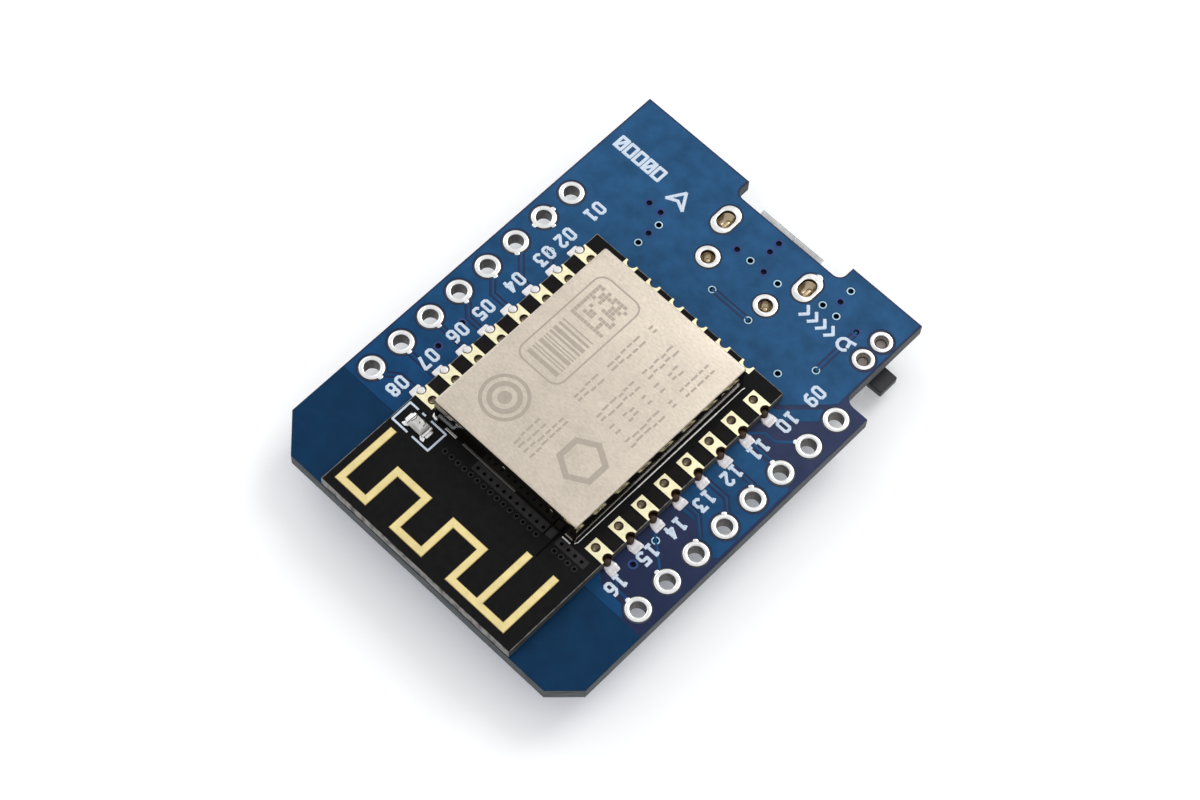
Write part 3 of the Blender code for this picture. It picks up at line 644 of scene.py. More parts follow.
# What each look is made of; several pieces can share one.
MATERIALS = {
    # The mask over copper has a painted sheen: its second colour is the darker end, towards the antenna.
    "mask_over_copper": blue_mask("mask_over_copper", (0.019, 0.083, 0.192), (0.006, 0.052, 0.142)),
    "mask_over_laminate": bare_mask(),
    "masked_halo": blue_mask("masked_halo", (0.036, 0.066, 0.190)),
    "via_rim": blue_mask("via_rim", (0.42, 0.66, 0.80)),
    # painted shade: near black inside the vias' holes
    "via_hole_painted_shade": blue_mask("via_hole_painted_shade", (0.001, 0.0015, 0.014)),
    "laminate": laminate_edge("laminate_edge", (0.075, 0.085, 0.085), (0.022, 0.027, 0.032)),
    "module_edge": module_edge(),
    "black_mask": moulded("black_mask", (0.0062, 0.0062, 0.0062), 0.42, 0.2, 0.06),
    "black_mask_copper": moulded("black_mask_copper", (0.026, 0.024, 0.0255), 0.38, 0.2, 0.10),
    "black_mask_border": moulded("black_mask_border", (0.010, 0.0080, 0.0078), 0.38, 0.2, 0.06),
    # near black: real gaps in the module's copper, and painted shade in its via holes
    "dark_gaps_and_hole_shade": moulded("dark_gaps_and_hole_shade", (0.0012, 0.0012, 0.0012), 0.6, 0.2, 0.02),
    "flux": moulded("burnt_flux", (0.042, 0.018, 0.010), 0.30, 0.2, 0.3),
    "tin": metal("hot_tin", (0.90, 0.90, 0.88), 0.25),
    # painted shade: the tinned barrels are drawn dark grey, as the shade inside the pin holes
    "barrel": metal("plated_barrel_painted_shade", (0.20, 0.19, 0.18), 0.5, 0.15, 0.02),
    "solder": metal("solder", (0.64, 0.62, 0.63), 0.50, 0.12, 0.022),
    "bright_solder": metal("bright_solder", (0.76, 0.74, 0.74), 0.42, 0.15, 0.015),
    "bead": metal("solder_bead", (0.92, 0.91, 0.90), 0.30, 0.2, 0.008),
    "dull_bead": metal("dull_bead", (0.22, 0.215, 0.21), 0.35, 0.2, 0.012),
    "fluxed_solder": metal("fluxed_solder", (0.50, 0.40, 0.26), 0.26, 0.45, 0.03),
    # flux brown deepened with painted shade, for the walls of the socket's leg holes
    "leg_hole": metal("flux_and_painted_shade_hole", (0.10, 0.06, 0.03), 0.40, 0.2, 0.03),
    "gold": metal("immersion_gold", (0.92, 0.76, 0.36), 0.30, 0.5, 0.002),
    "gold_edge": metal("gold_edge", (0.60, 0.46, 0.20), 0.35, 0.3, 0.004),
    "pad_gold": metal("pad_gold", (0.98, 0.91, 0.60), 0.32, 0.3, 0.004),
    # painted shade: gold plating inside holes and half holes drawn dark brown, and the holes' fill dark, as
    # their shade
    "gold_in_painted_shade": metal("gold_in_painted_shade", (0.20, 0.145, 0.10), 0.38, 0.2, 0.03),
    "hole_fill_in_painted_shade": metal("hole_fill_in_painted_shade", (0.20, 0.16, 0.11), 0.40, 0.25, 0.03),
    "can": can_metal(),
    "etched": metal("etched_marks", (0.43, 0.375, 0.315), 0.46, 0.08, 0.010),
    "nickel": metal("nickel_plate", (0.90, 0.89, 0.87), 0.26, 0.4, 0.004),
    # painted reflection: the nickel lip gets a near-white, nearly diffuse surface, standing in for its
    # bright reflection
    "lip": moulded("lip_painted_reflection", (0.92, 0.92, 0.91), 0.35, 0.2, 0.5),
    "spring": metal("spring_strip", (0.60, 0.58, 0.55), 0.28, 0.2, 0.004),
    "compound": moulded("moulding_compound", (0.014, 0.014, 0.015), 0.55, 0.05),
    "nylon": moulded("black_nylon", (0.012, 0.012, 0.013), 0.48),
    "acetal": moulded("black_acetal", (0.022, 0.021, 0.023), 0.45, 0.1),
    "post": moulded("post_tip", (0.21, 0.18, 0.155), 0.45, 0.15),
    "lens": moulded("lamp_resin", (0.60, 0.59, 0.56), 0.15, 0.2, 0.5),
    # dark die marks, and painted shade strips in the lamp and at the socket's lip
    "die_and_painted_shade": moulded("lamp_die_and_painted_shade", (0.035, 0.030, 0.026), 0.4, 0.1),
    "capacitor": ceramic("capacitor_ceramic", (0.42, 0.27, 0.14)),
    "resistor": ceramic("resistor_glaze", (0.016, 0.016, 0.018)),
    "alumina": ceramic("alumina", (0.75, 0.74, 0.70)),
    "crystal_base": ceramic("crystal_base", (0.10, 0.095, 0.09)),
    "fuse": ceramic("fuse_laminate", (0.03, 0.16, 0.08)),
    "ink": ink(),
}


def add_piece(name, mesh, look, slot_name, replaces=(), body="board", angle=40):
    """Put a finished mesh, or a list of them, in millimetres, on its body as one piece."""
    if isinstance(mesh, list):
        mesh = together(mesh)
    mesh.name = name
    mesh.transform(Matrix.Scale(MM, 4))
    mesh.materials.clear()
    mesh.materials.append(MATERIALS[look].material)
    mesh.shade_smooth()
    mesh.set_sharp_from_angle(angle=math.radians(angle))
    piece = bpy.data.objects.new(name, mesh)
    bpy.context.scene.collection.objects.link(piece)
    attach(piece, body)
    if replaces:
        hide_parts(*replaces)


# ---------------------------------------------------------------- main board
def board_outline(inset=0.0):
    left = BOARD_LOW[0] + inset
    right = BOARD_HIGH[0] - inset
    near = BOARD_LOW[1] + inset
    far = BOARD_HIGH[1] - inset
    notch_y = BOARD_HIGH[1] - NOTCH_DEPTH - inset
    shift = inset * math.tan(math.radians(22.5))
    return rounded([
        (left, near + CHAMFER_LEFT - inset + shift, 0),
        (left + CHAMFER_LEFT - inset + shift, near, 0),
        (right - CHAMFER_RIGHT + inset - shift, near, 0),
        (right, near + CHAMFER_RIGHT - inset + shift, 0),
        (right, INSET_Y - inset, 0),
        (INSET_X - inset, INSET_Y - inset, INSET_R),
        (INSET_X - inset, far, 0),
        (NOTCH_RIGHT + inset, far, 0),
        (NOTCH_RIGHT + inset, notch_y, NOTCH_R),
        (NOTCH_LEFT - inset, notch_y, NOTCH_R),
        (NOTCH_LEFT - inset, far, 0),
        (left, far, 0),
    ])


def board_openings(in_mask):
    """Outlines of every plated hole in the laminate, or of the wider openings round them in the mask."""
    pin, leg_slot, rear, post = PIN_HOLE_R + 0.04, SLOT_HOLE, REAR_HOLE_R, REAR_HOLE_R
    if in_mask:
        pin, rear, post = RING_OPENING_R, REAR_PAD_R + 0.07, POST_PAD_R + 0.07
        leg_slot = (SLOT_PAD[0] + 0.14, SLOT_PAD[1] + 0.14)
    loops = [circle(x, y, pin) for x, y, z in PINS]
    loops += [slot(x, y, *leg_slot) for x, y in SLOT_PLACES]
    loops += [circle(x, y, rear) for x, y in REAR_PLACES]
    loops += [circle(x, y, post) for x, y in POST_PLACES]
    loops += [circle(x, y, VIA_HOLE_R + 0.01, 16) for x, y in on_board(RIMMED_VIAS + MASKED_VIAS)]
    return loops


TRACES = [
    [(-10.65, 3.5), (-9.25, 2.1), (-8.0, 2.1)],
    [(-10.6, 0.9), (-9.8, 0.1), (-8.0, 0.1)],
    [(-10.5, -1.4), (-9.65, -2.2), (-8.0, -2.2)],
    [(-10.5, -3.85), (-8.0, -3.85)],
    [(-10.5, -6.5), (-8.0, -6.5)],
    [(-10.7, -8.75), (-9.75, -8.0), (-8.0, -8.0)],
    [(-9.4, 4.9), (-8.6, 4.1), (-8.0, 4.1)],
    [(10.7, 6.0), (9.75, 5.1), (8.9, 5.1), (8.2, 4.4)],
    [(10.7, 4.0), (8.2, 4.0)],
    [(10.9, 2.0), (8.2, 2.0)],
    [(10.9, -0.5), (10.2, 0.2), (8.2, 0.2)],
    [(10.9, -2.9), (9.75, -1.85), (8.2, -1.85)],
    [(10.7, -6.25), (10.1, -5.7), (9.1, -4.9), (8.2, -4.2)],
    [(10.7, -8.85), (9.6, -8.85), (8.8, -8.1), (8.2, -8.1)],
    [(8.25, 14.35), (8.25, 10.55)],
    [(-0.25, 10.15), (2.85, 10.15)],
]
TRACE_WIDTH = 0.19
TRACE_CLEARANCE = 0.13


def pours():
    """Outlines of the copper areas on the top face."""
    main = rounded([
        (-12.67, -10.05, 0), (-7.0, -10.05, 0), (-7.0, 7.2, 0), (8.3, 7.2, 0), (10.45, 9.4, 0),
        (10.76, 9.8, 0), (10.76, 17.52, 0), (5.18, 17.52, 0), (5.18, 16.27, 0.7), (-4.08, 16.27, 0.65),
        (-4.08, 17.52, 0), (-12.67, 17.52, 0)])
    supply = [(10.75, 9.2), (8.3, 6.75), (7.5, 6.75), (7.5, 5.6), (8.4, 5.6), (9.3, 6.6), (11.05, 8.35)]
    right = [(7.0, 3.7), (12.1, 3.7), (12.58, 3.25), (12.58, -3.1), (12.2, -3.4), (11.3, -3.0),
             (9.85, -2.3), (7.0, -2.3)]
    island = [(7.0, -10.05), (11.1, -10.05), (11.1, -9.9), (10.5, -9.35), (8.9, -9.35), (8.1, -8.7),
              (7.0, -8.7)]
    return [on_board(outline) for outline in (main, supply, right, island)]


def make_main_board():
    core_low = BOARD_BOTTOM + MASK
    core_high = BOARD_TOP - MASK
    sawn = [board_outline()] + board_openings(in_mask=False)
    add_piece("board_laminate", plate(sawn, core_low, core_high), "laminate", "blue_laminate",
              replaces=["main_pcb"])
    masked = [board_outline(0.03)] + board_openings(in_mask=True)
    add_piece("top_mask", plate(masked, core_high, BOARD_TOP), "mask_over_laminate", "blue_laminate")
    add_piece("bottom_mask", plate(masked, BOARD_BOTTOM, core_low), "mask_over_copper", "blue_laminate")


def copper_clearances(level, tracks, lands=()):
    """Prisms that keep a copper area away from holes, from lands, and from the tracks that run in it."""
    loops = [circle(x, y, POUR_OPENING_R, 32) for x, y, z in PINS]
    loops += [slot(x, y, SLOT_PAD[0] + 0.26, SLOT_PAD[1] + 0.26, 32) for x, y in SLOT_PLACES]
    loops += [circle(x, y, REAR_PAD_R + 0.12, 32) for x, y in REAR_PLACES + POST_PLACES]
    loops += [circle(x, y, VIA_RIM_R + 0.05, 24) for x, y in on_board(RIMMED_VIAS)]
    loops += [circle(x, y, VIA_HOLE_R, 24) for x, y in on_board(MASKED_VIAS)]
    loops += lands
    loops += [ribbon(path, TRACE_WIDTH + 2 * TRACE_CLEARANCE) for path in tracks]
    return [plate([loop], level - 0.5, level + 0.5) for loop in loops]


def make_top_copper():
    """Masked copper areas with their clearances, and the tracks that run in them."""
    tools = copper_clearances(BOARD_TOP, [on_board(path) for path in TRACES])
    areas = [boolean(plate([outline], BOARD_TOP - 0.005, BOARD_TOP + COPPER), together(tools),
                     "DIFFERENCE", overlapping=True) for outline in pours()]
    add_piece("top_copper_areas", areas, "mask_over_copper", "blue_laminate")
    tracks = strokes([on_board(path) for path in TRACES], TRACE_WIDTH, COPPER + 0.01, BOARD_TOP)
    add_piece("top_tracks", tracks, "mask_over_copper", "blue_laminate")


def crown_profile(hole, rim, rise):
    """Cross-section of the rounded solder crown round a plated hole."""
    crown = []
    for k in range(9):
        a = math.pi * k / 8
        half = (rim - hole) / 2
        crown.append(((hole + rim) / 2 - half * math.cos(a), rise * math.sin(a) ** 0.6))
    return crown + [(rim, -0.02), (hole, -0.02)]


def tube(x, y, radius, wall=0.025):
    """Plating down the wall of a round hole in the main board."""
    return plate([circle(x, y, radius + wall, 32), circle(x, y, radius, 32)], BOARD_BOTTOM, BOARD_TOP)


TAB_DIRECTIONS = [None, (90, 0, -90), (-40,), (-10,), (-12,), (-5,), (-8,), (-5,),
                  None, (205,), (170,), (140,), (135,), (135,), (180,), (180,)]


def make_eyelets():
    """Tinned pin holes: a domed ring on each face, a barrel, and the tabs where tracks join."""
    depth = (BOARD_TOP - BOARD_BOTTOM) / 2
    for node, (x, y, z), directions in zip(EYELETS, PINS, TAB_DIRECTIONS):
        half = turned(crown_profile(PIN_HOLE_R, RING_R, 0.065))
        top = moved(half.copy(), z=depth)
        bottom = turned_about(moved(half, z=depth), "X", 180)
        parts = [top, bottom]
        for degrees in directions or ():
            tab = cushion(rectangle(RING_R - 0.12, -0.17, RING_R + 0.16, 0.17, 0.12), depth, 0.045)
            parts.append(turned_about(tab, "Z", degrees))
        mesh = moved(together(parts), x, y, (BOARD_TOP + BOARD_BOTTOM) / 2)
        add_piece(node.replace("header_eyelet", "pin_hole"), mesh, "tin", "tinned", replaces=[node])
    # painted shade: the barrels are drawn dark grey, as the shade down the holes
    add_piece("pin_hole_barrels", [tube(x, y, PIN_HOLE_R) for x, y, z in PINS], "barrel", "tinned")


def flat_ring(x, y, radius, hole, low, high):
    return plate([circle(x, y, radius, 24), circle(x, y, hole, 24)], low, high, 0.004)


def make_vias():
    """Small plated holes: some with a bare pale rim, some plugged and covered by the mask."""
    rimmed = on_board(RIMMED_VIAS)
    masked = on_board(MASKED_VIAS)
    rims = [flat_ring(x, y, VIA_RIM_R, VIA_HOLE_R, BOARD_TOP - 0.01, BOARD_TOP + 0.018) for x, y in rimmed]
    rims += [flat_ring(x, y, VIA_RIM_R, VIA_HOLE_R, BOARD_BOTTOM - 0.018, BOARD_BOTTOM + 0.01)
             for x, y in rimmed]
    add_piece("via_rims", rims, "via_rim", "blue_laminate")
    high = BOARD_TOP + COPPER
    halos = [flat_ring(x, y, VIA_HALO_R, VIA_HOLE_R, BOARD_TOP - 0.01, high + 0.008) for x, y in masked]
    add_piece("via_halos", halos, "masked_halo", "blue_laminate")
    # painted shade: the vias' walls and the mask sunk into the masked ones are drawn near black, as the
    # holes' shade
    barrels = [tube(x, y, VIA_HOLE_R, 0.01) for x, y in rimmed + masked]
    barrels += [dish(circle(x, y, VIA_HOLE_R + 0.002, 24), BOARD_TOP - 0.05, 0.08, BOARD_TOP - 0.3, 4)
                for x, y in masked]
    add_piece("via_barrels", barrels, "via_hole_painted_shade", "blue_laminate")


def socket_pads(low, high, soft):
    """Soft-edged tinned pads round the holes of the socket's legs."""
    pads = [plate([slot(x, y, *SLOT_PAD), slot(x, y, *SLOT_HOLE)], low, high, soft) for x, y in SLOT_PLACES]
    return pads + [plate([circle(x, y, REAR_PAD_R), circle(x, y, REAR_HOLE_R + 0.02)], low, high, soft)
                   for x, y in REAR_PLACES]


def make_leg_pads():
    """Tinned pads of the socket's legs and the switch's posts, with what wets or lines their holes."""
    low = BOARD_TOP - 0.02
    high = BOARD_TOP + 0.06
    pads = socket_pads(low, high, 0.03)
    pads += [plate([circle(x, y, POST_PAD_R), circle(x, y, REAR_HOLE_R)], low, high, 0.03)
             for x, y in POST_PLACES]
    right_x, right_y = SLOT_PLACES[1]
    pads.append(cushion(circle(right_x + 0.05, right_y + 1.0, 0.30, 24), BOARD_TOP, 0.08))
    add_piece("leg_pads", pads, "tin", "tinned")
    # The linings' dark brown is a flux tint deepened into painted shade on the walls above the solder.
    linings = [plate([slot(x, y, SLOT_HOLE[0] + 0.02, SLOT_HOLE[1] + 0.02), slot(x, y, *SLOT_HOLE)],
                     BOARD_BOTTOM, BOARD_TOP) for x, y in SLOT_PLACES]
    linings += [tube(x, y, REAR_HOLE_R) for x, y in REAR_PLACES]
    add_piece("leg_hole_linings", linings, "leg_hole", "tinned")
    add_piece("post_hole_linings", [tube(x, y, REAR_HOLE_R) for x, y in POST_PLACES], "tin", "tinned")
    collars = [moved(turned([(0.38, -0.5), (REAR_HOLE_R, -0.5), (REAR_HOLE_R, -0.17), (0.43, -0.23),
                             (0.38, -0.24)], 32), x, y, BOARD_TOP) for x, y in POST_PLACES]
    add_piece("post_hole_collars", collars, "post", "tinned")
    fills = []
    base = BOARD_BOTTOM + 0.1
    for x, y in SLOT_PLACES:
        fills.append(dish(slot(x, y, SLOT_HOLE[0] - 0.02, SLOT_HOLE[1] - 0.02, 32), BOARD_TOP - 0.24, 0.34,
                          base))
        fills.append(cushion(slot(x + 0.09, y - 0.08, 0.36, 0.90, 24), BOARD_TOP - 0.62, 0.24))
    for x, y in REAR_PLACES:
        fills.append(dish(circle(x, y, REAR_HOLE_R - 0.01, 32), BOARD_TOP - 0.24, 0.30, base))
        fills.append(cushion(circle(x + 0.03, y, 0.20, 24), BOARD_TOP - 0.58, 0.2))
    add_piece("leg_solder", fills, "fluxed_solder", "tinned")


# ---------------------------------------------------------------- printed legend
DIGITS = {
    "0": [[(1, 0), (1.5, 0), (2, 0.5), (2, 3.5), (1.5, 4), (0.5, 4), (0, 3.5), (0, 0.5), (0.5, 0), (1, 0)]],
    "1": [[(0.3, 3.6), (1.1, 3.9)], [(1.1, 4), (1.1, 0)], [(0.3, 0), (1.9, 0)]],
    "2": [[(0, 3.4), (0.5, 4), (1.5, 4), (2, 3.4), (2, 2.7), (0, 0.4), (0, 0), (2, 0)]],
    "3": [[(0, 4), (2, 4), (1, 2.5), (1.5, 2.4), (2, 1.9), (2, 0.5), (1.5, 0), (0.5, 0), (0, 0.5)]],
    "4": [[(1.5, 0), (1.5, 4), (0, 1.2), (2, 1.2)]],
    "5": [[(2, 4), (0.1, 4), (0, 2.4), (1.5, 2.4), (2, 1.9), (2, 0.5), (1.5, 0), (0.5, 0), (0, 0.5)]],
    "6": [[(1.7, 4), (0.9, 4), (0, 3), (0, 0.5), (0.5, 0), (1.5, 0), (2, 0.5), (2, 1.8), (1.5, 2.3),
           (0, 2.3)]],
    "7": [[(0, 4), (2, 4), (1.6, 2.6), (0.7, 0)]],
    "8": [[(0.5, 2.2), (0, 1.7), (0, 0.5), (0.5, 0), (1.5, 0), (2, 0.5), (2, 1.7), (1.5, 2.2), (0.5, 2.2),
           (0.1, 2.7), (0.1, 3.5), (0.5, 4), (1.5, 4), (1.9, 3.5), (1.9, 2.7), (1.5, 2.2)]],
    "9": [[(0.3, 0), (1.1, 0), (2, 1), (2, 3.5), (1.5, 4), (0.5, 4), (0, 3.5), (0, 2.2), (0.5, 1.7),
           (2, 1.7)]],
}
GLYPH_HEIGHT = 0.84
GLYPH_PITCH = 0.76
LABEL_X = 9.4                    # how far from the board's middle line the pin numbers are printed
UNDER_LABEL_X = 9.95
LEGEND_STROKE = 0.22
UNDER_STROKE = 0.16
# How far each pin's number is printed off its hole, along the board.
LABEL_SHIFTS = [0.06, -0.1, 0.54, 0.38, 0.17, 0.41, 0.35, 0.24,
                0.26, 0.3, 0.19, 0.28, 0.37, 0.36, 0.45, 0.19]


def number_paths(number, x, y):
    """Strokes of a two-figure number read towards -Y, centred on a point."""
    unit = GLYPH_HEIGHT / 4
    paths = []
    for k, figure in enumerate(f"{number:02d}"):
        along = (k - 0.5) * GLYPH_PITCH
        for stroke in DIGITS[figure]:
            paths.append([(x + (v - 2) * unit, y - along - (u - 1) * unit) for u, v in stroke])
    return paths


def make_legend():
    """Pin numbers, a date ladder, an arrow towards the socket end, and a reset sign."""
    paths = []
    for i, (x, y, z) in enumerate(PINS):
        paths += number_paths(i + 1, math.copysign(LABEL_X, x), y + LABEL_SHIFTS[i])
    marks = []
    for k in range(5):
        left = -12.0 + 0.82 * k
        right = left + 0.55
        marks.append([(left, 13.45), (right, 13.45), (right, 14.3), (left, 14.3), (left, 13.4)])
    for x in (-11.9, -9.4):
        marks.append([(x, 13.6), (x + 0.35, 14.2)])
    marks.append([(-6.9, 12.95), (-6.2, 14.1), (-5.5, 12.95), (-6.2, 13.3), (-6.9, 12.95)])
    x, y, radius = 8.25, 13.15, 0.42
    turn = [math.radians(60 + 30 * k) for k in range(10)]
    marks.append([(x + radius * math.cos(a), y + radius * math.sin(a)) for a in turn])
    marks.append([(x + 0.55, y + 0.5), (x + 0.18, y + 0.42), (x + 0.3, y)])
    marks += [[(left, 12.75), (left + 0.38, 13.18), (left, 13.6)] for left in (4.85, 5.55, 6.25, 6.95)]
    paths += [on_board(path) for path in marks]
    mesh = strokes(paths, LEGEND_STROKE, INK, BOARD_TOP + COPPER)
    add_piece("printed_legend", mesh, "ink", "blue_laminate")


# ---------------------------------------------------------------- radio module
def bite(x, y, radius, start):
    """Half a circle of points that cuts into an edge, running back from the start angle in degrees."""
    steps = 14
    angles = [math.radians(start - 180 * k / steps) for k in range(steps + 1)]
    return [(x + radius * math.cos(a), y + radius * math.sin(a)) for a in angles]


def module_outline(inset=0.0, radius=CASTELLATION_R):
    left = MODULE_LOW[0] + inset
    right = MODULE_HIGH[0] - inset
    bottom = MODULE_LOW[1] - FREE_END_EXTRA + inset
    top = MODULE_HIGH[1] - inset
    points = [(left, bottom), (right, bottom)]
    for y in reversed(SIDE_PADS_Y):
        points += bite(right, y, radius, 270)
    points.append((right, top))
    for x in reversed(END_PADS_X):
        points += bite(x, top, radius, 360)
    points.append((left, top))
    for y in SIDE_PADS_Y:
        points += bite(left, y, radius, 90)
    return points


def module_holes():
    """Centres of the filled holes, one in each side pad."""
    return [(edge - side * MODULE_HOLE_INSET, y) for side, edge in MODULE_SIDES for y in SIDE_PADS_Y]


def make_module_board():
    low = MODULE_LOW[2]
    loops = [module_outline()] + [circle(x, y, MODULE_HOLE_R, 24) for x, y in module_holes()]
    add_piece("module_laminate", plate(loops, low, MODULE_TOP - MASK), "module_edge", "black_laminate",
              replaces=["module_pcb"])
    masked = [module_outline(0.05, CASTELLATION_R + 0.03)]
    masked += [circle(x, y, MODULE_HOLE_R + 0.02, 24) for x, y in module_holes()]
    add_piece("module_mask", plate(masked, MODULE_TOP - MASK, MODULE_TOP), "black_mask", "black_laminate")


def make_module_pads():
    """Gold pads with a half hole at the edge; the side pads have a second, filled hole."""
    level = MODULE_TOP
    pads = []
    half = PAD_WIDTH / 2
    for side, edge in MODULE_SIDES:
        inner = edge - side * PAD_LENGTH
        turn = side * half
        for y in SIDE_PADS_Y:
            corners = [(edge, y + turn), (inner, y + turn), (inner, y - turn), (edge, y - turn)]
            arc = bite(edge, y, CASTELLATION_R + 0.01, 180 + 90 * side)
            hole = circle(edge - side * MODULE_HOLE_INSET, y, MODULE_HOLE_R + 0.01, 24)
            pads.append(plate([corners + arc, hole], level - 0.02, level + 0.02))
    top = MODULE_HIGH[1]
    for x in END_PADS_X:
        outline = [(x - half, top), (x - half, top - END_PAD_LENGTH), (x + half, top - END_PAD_LENGTH),
                   (x + half, top)] + bite(x, top, CASTELLATION_R + 0.01, 360)
        pads.append(plate([outline], level - 0.02, level + 0.02))
    add_piece("module_pads", pads, "pad_gold", "black_laminate")
    fills = []
    linings = []
    low = MODULE_LOW[2]
    # painted shade: the fills and linings are drawn dark, as the holes' shade
    for x, y in module_holes():
        fills.append(dish(circle(x, y, MODULE_HOLE_R - 0.03, 24), level - 0.15, 0.12, low + 0.1, 4))
        linings.append(flat_ring(x, y, MODULE_HOLE_R + 0.015, MODULE_HOLE_R - 0.02, low + 0.05,
                                 level + 0.01))
    add_piece("module_hole_fill", fills, "hole_fill_in_painted_shade", "black_laminate")
    add_piece("module_hole_linings", linings, "gold_in_painted_shade", "black_laminate")


def make_castellations():
    """Plating on the walls of the half holes, drawn dark brown as painted shade."""
    places = [(edge, y, 180 + 90 * side) for y in SIDE_PADS_Y for side, edge in MODULE_SIDES]
    places += [(x, MODULE_HIGH[1], 360) for x in END_PADS_X]
    linings = []
    for place in places:
        outer = bite(place[0], place[1], CASTELLATION_R + 0.012, place[2])
        inner = bite(place[0], place[1], CASTELLATION_R - 0.02, place[2])
        linings.append(plate([outer + inner[::-1]], MODULE_LOW[2] + 0.01, MODULE_TOP + 0.01))
    add_piece("castellation_plating", linings, "gold_in_painted_shade", "black_laminate")


def solder_climb(edge, pad_y):
    """How far the solder beside one half hole climbs towards the module's edge."""
    def climb(x, y):
        near = max(0.0, 1 - abs(x - edge) / 0.45)
        return 0.30 * near ** 2 * max(0.0, 1 - ((y - pad_y) / 0.42) ** 2)
    return climb


def make_module_solder():
    """Flat solder lands beside the module; solder fills the left half holes, burnt flux the right ones."""
    lands = {-1: [], 1: []}
    flux = []
    base = BOARD_TOP + 0.005
    for side, edge in MODULE_SIDES:
        near = edge - side * 0.05
        waist = edge + side * 0.28
        for k, y in enumerate(SIDE_PADS_Y):    # the lands' ends and corners differ a little
            outer = edge + side * (0.73 + 0.04 * math.sin(7.3 * k + side))
            skew = 0.05 * math.sin(3.1 * k + 2 * side)
            loop = rounded([(near, y - 0.36, 0.05), (waist, y - 0.45, 0.05),
                            (outer, y - 0.43 + skew, 0.1), (outer, y + 0.42 + skew, 0.1),
                            (waist, y + 0.45, 0.05), (near, y + 0.36, 0.05)], 4)
            lands[side].append(cushion(loop, base, 0.06, solder_climb(edge, y), rings=7, sharp=6.0))
            if side > 0:
                flux.append(cushion(circle(edge - 0.09, y, CASTELLATION_R - 0.05, 24), base, 0.55, rings=6))
            else:
                hole = circle(edge + 0.04, y, CASTELLATION_R - 0.03, 24)
                lands[side].append(cushion(hole, base, 0.86, rings=6, sharp=6.0))
    add_piece("module_solder_left", lands[-1], "bright_solder", "tinned")
    add_piece("module_solder_right", lands[1], "solder", "tinned")
    add_piece("module_flux", flux, "flux", "tinned")


def make_antenna():
    """Bare gold meander with a second leg: a darker foot and a bright flat top."""
    low, high, foot = -16.22, -13.52, -11.72
    legs = (-7.08, -4.91, -2.40, -0.12, 2.37)
    last, branch = 6.8, 4.59
    path = [(legs[0], foot)]
    for i, x in enumerate(legs):
        level = low if i % 2 == 0 else high
        path.append((x, level))
        if i < len(legs) - 1:
            path.append((legs[i + 1], level))
    path += [(last, low), (last, foot)]
    bottom = MODULE_TOP - 0.01
    top = ANTENNA_TOP
    foot_width = 0.50
    for name, width, level, look in (("antenna_foot", foot_width, top - 0.025, "gold_edge"),
                                     ("antenna_meander", 0.42, top, "gold")):
        inset = (foot_width - width) / 2
        half = width / 2
        line = list(path)
        line[0] = (legs[0], foot - inset)
        line[-1] = (last, foot - inset)
        second = plate([rectangle(branch - half, low, branch + half, foot - inset)], bottom, level)
        trace = boolean(plate([ribbon(line, width)], bottom, level), second, "UNION")
        nodes = ["antenna_trace"] if name == "antenna_meander" else []
        add_piece(name, trace, look, "gold", replaces=nodes)


MODULE_VIA_PITCH = 0.555
MODULE_VIA_ROWS = [(-1.62, 11, -9.36), (5.48, 4, -9.36), (-3.84, 15, -9.98), (5.48, 4, -10.0)]


def make_module_artwork():
    """Masked ground copper at the can's foot, the feed line, rows of small vias and the lamp's outline."""
    level = MODULE_TOP
    high = level + 0.012
    holes = []
    for first, count, y in MODULE_VIA_ROWS:
        holes += on_board([(first + MODULE_VIA_PITCH * k, y) for k in range(count)])
    areas = [(-1.95, -9.66, 4.14, -8.96), (4.28, -9.6, 4.78, -8.96), (5.12, -9.66, 7.55, -9.05)]
    copper = []
    for x0, y0, x1, y1 in areas:
        outline = on_board(rectangle(x0, y0, x1, y1, 0.05))
        inside = [circle(x, y, 0.12, 16) for x, y in holes
                  if x0 < x < x1 and y0 < y - ROW_MIDDLE_Y < y1]
        copper.append(plate([outline] + inside, level - 0.005, high))
    add_piece("module_copper", copper, "black_mask_copper", "black_laminate")
    rims = [flat_ring(x, y, 0.19, 0.12, level - 0.005, high + 0.006) for x, y in holes]
    add_piece("module_via_rims", rims, "black_mask_copper", "black_laminate")
    # Painted shade: near-black discs in the small vias' holes; the two lines are dark gaps in the copper by
    # the feed line.
    marks = [plate([circle(x, y, 0.125, 16)], level - 0.005, level + 0.003) for x, y in holes]
    lines = [[(4.93, -8.9), (4.93, -11.0)], [(4.22, -8.9), (4.22, -9.7)]]
    marks += [plate([on_board(ribbon(line, 0.09))], level - 0.005, level + 0.004) for line in lines]
    add_piece("module_gaps_and_hole_shade", marks, "dark_gaps_and_hole_shade", "black_laminate")
    between = []
    for side, edge in MODULE_SIDES:
        inner, outer = sorted((edge - side * 1.36, edge - side * 0.1))
        between += [plate([rectangle(inner, y + 0.64, outer, y + 1.36)], level - 0.005, level + 0.008)
                    for y in SIDE_PADS_Y[1:]]
    add_piece("module_borders", between, "black_mask_border", "black_laminate")
    x0, x1, y0, y1 = -7.70, -4.62, -10.70, -9.15
    frame_paths = [
        [(-6.42, y0), (x0, y0), (x0, y1), (-7.02, y1)],
        [(-6.62, y1), (-6.40, y1)],
        [(-5.95, y0), (x1, y0), (x1, y1), (-5.85, y1)],
    ]
    lines = strokes([on_board(path) for path in frame_paths], 0.14, INK, level)
    add_piece("lamp_outline", lines, "ink", "black_laminate")


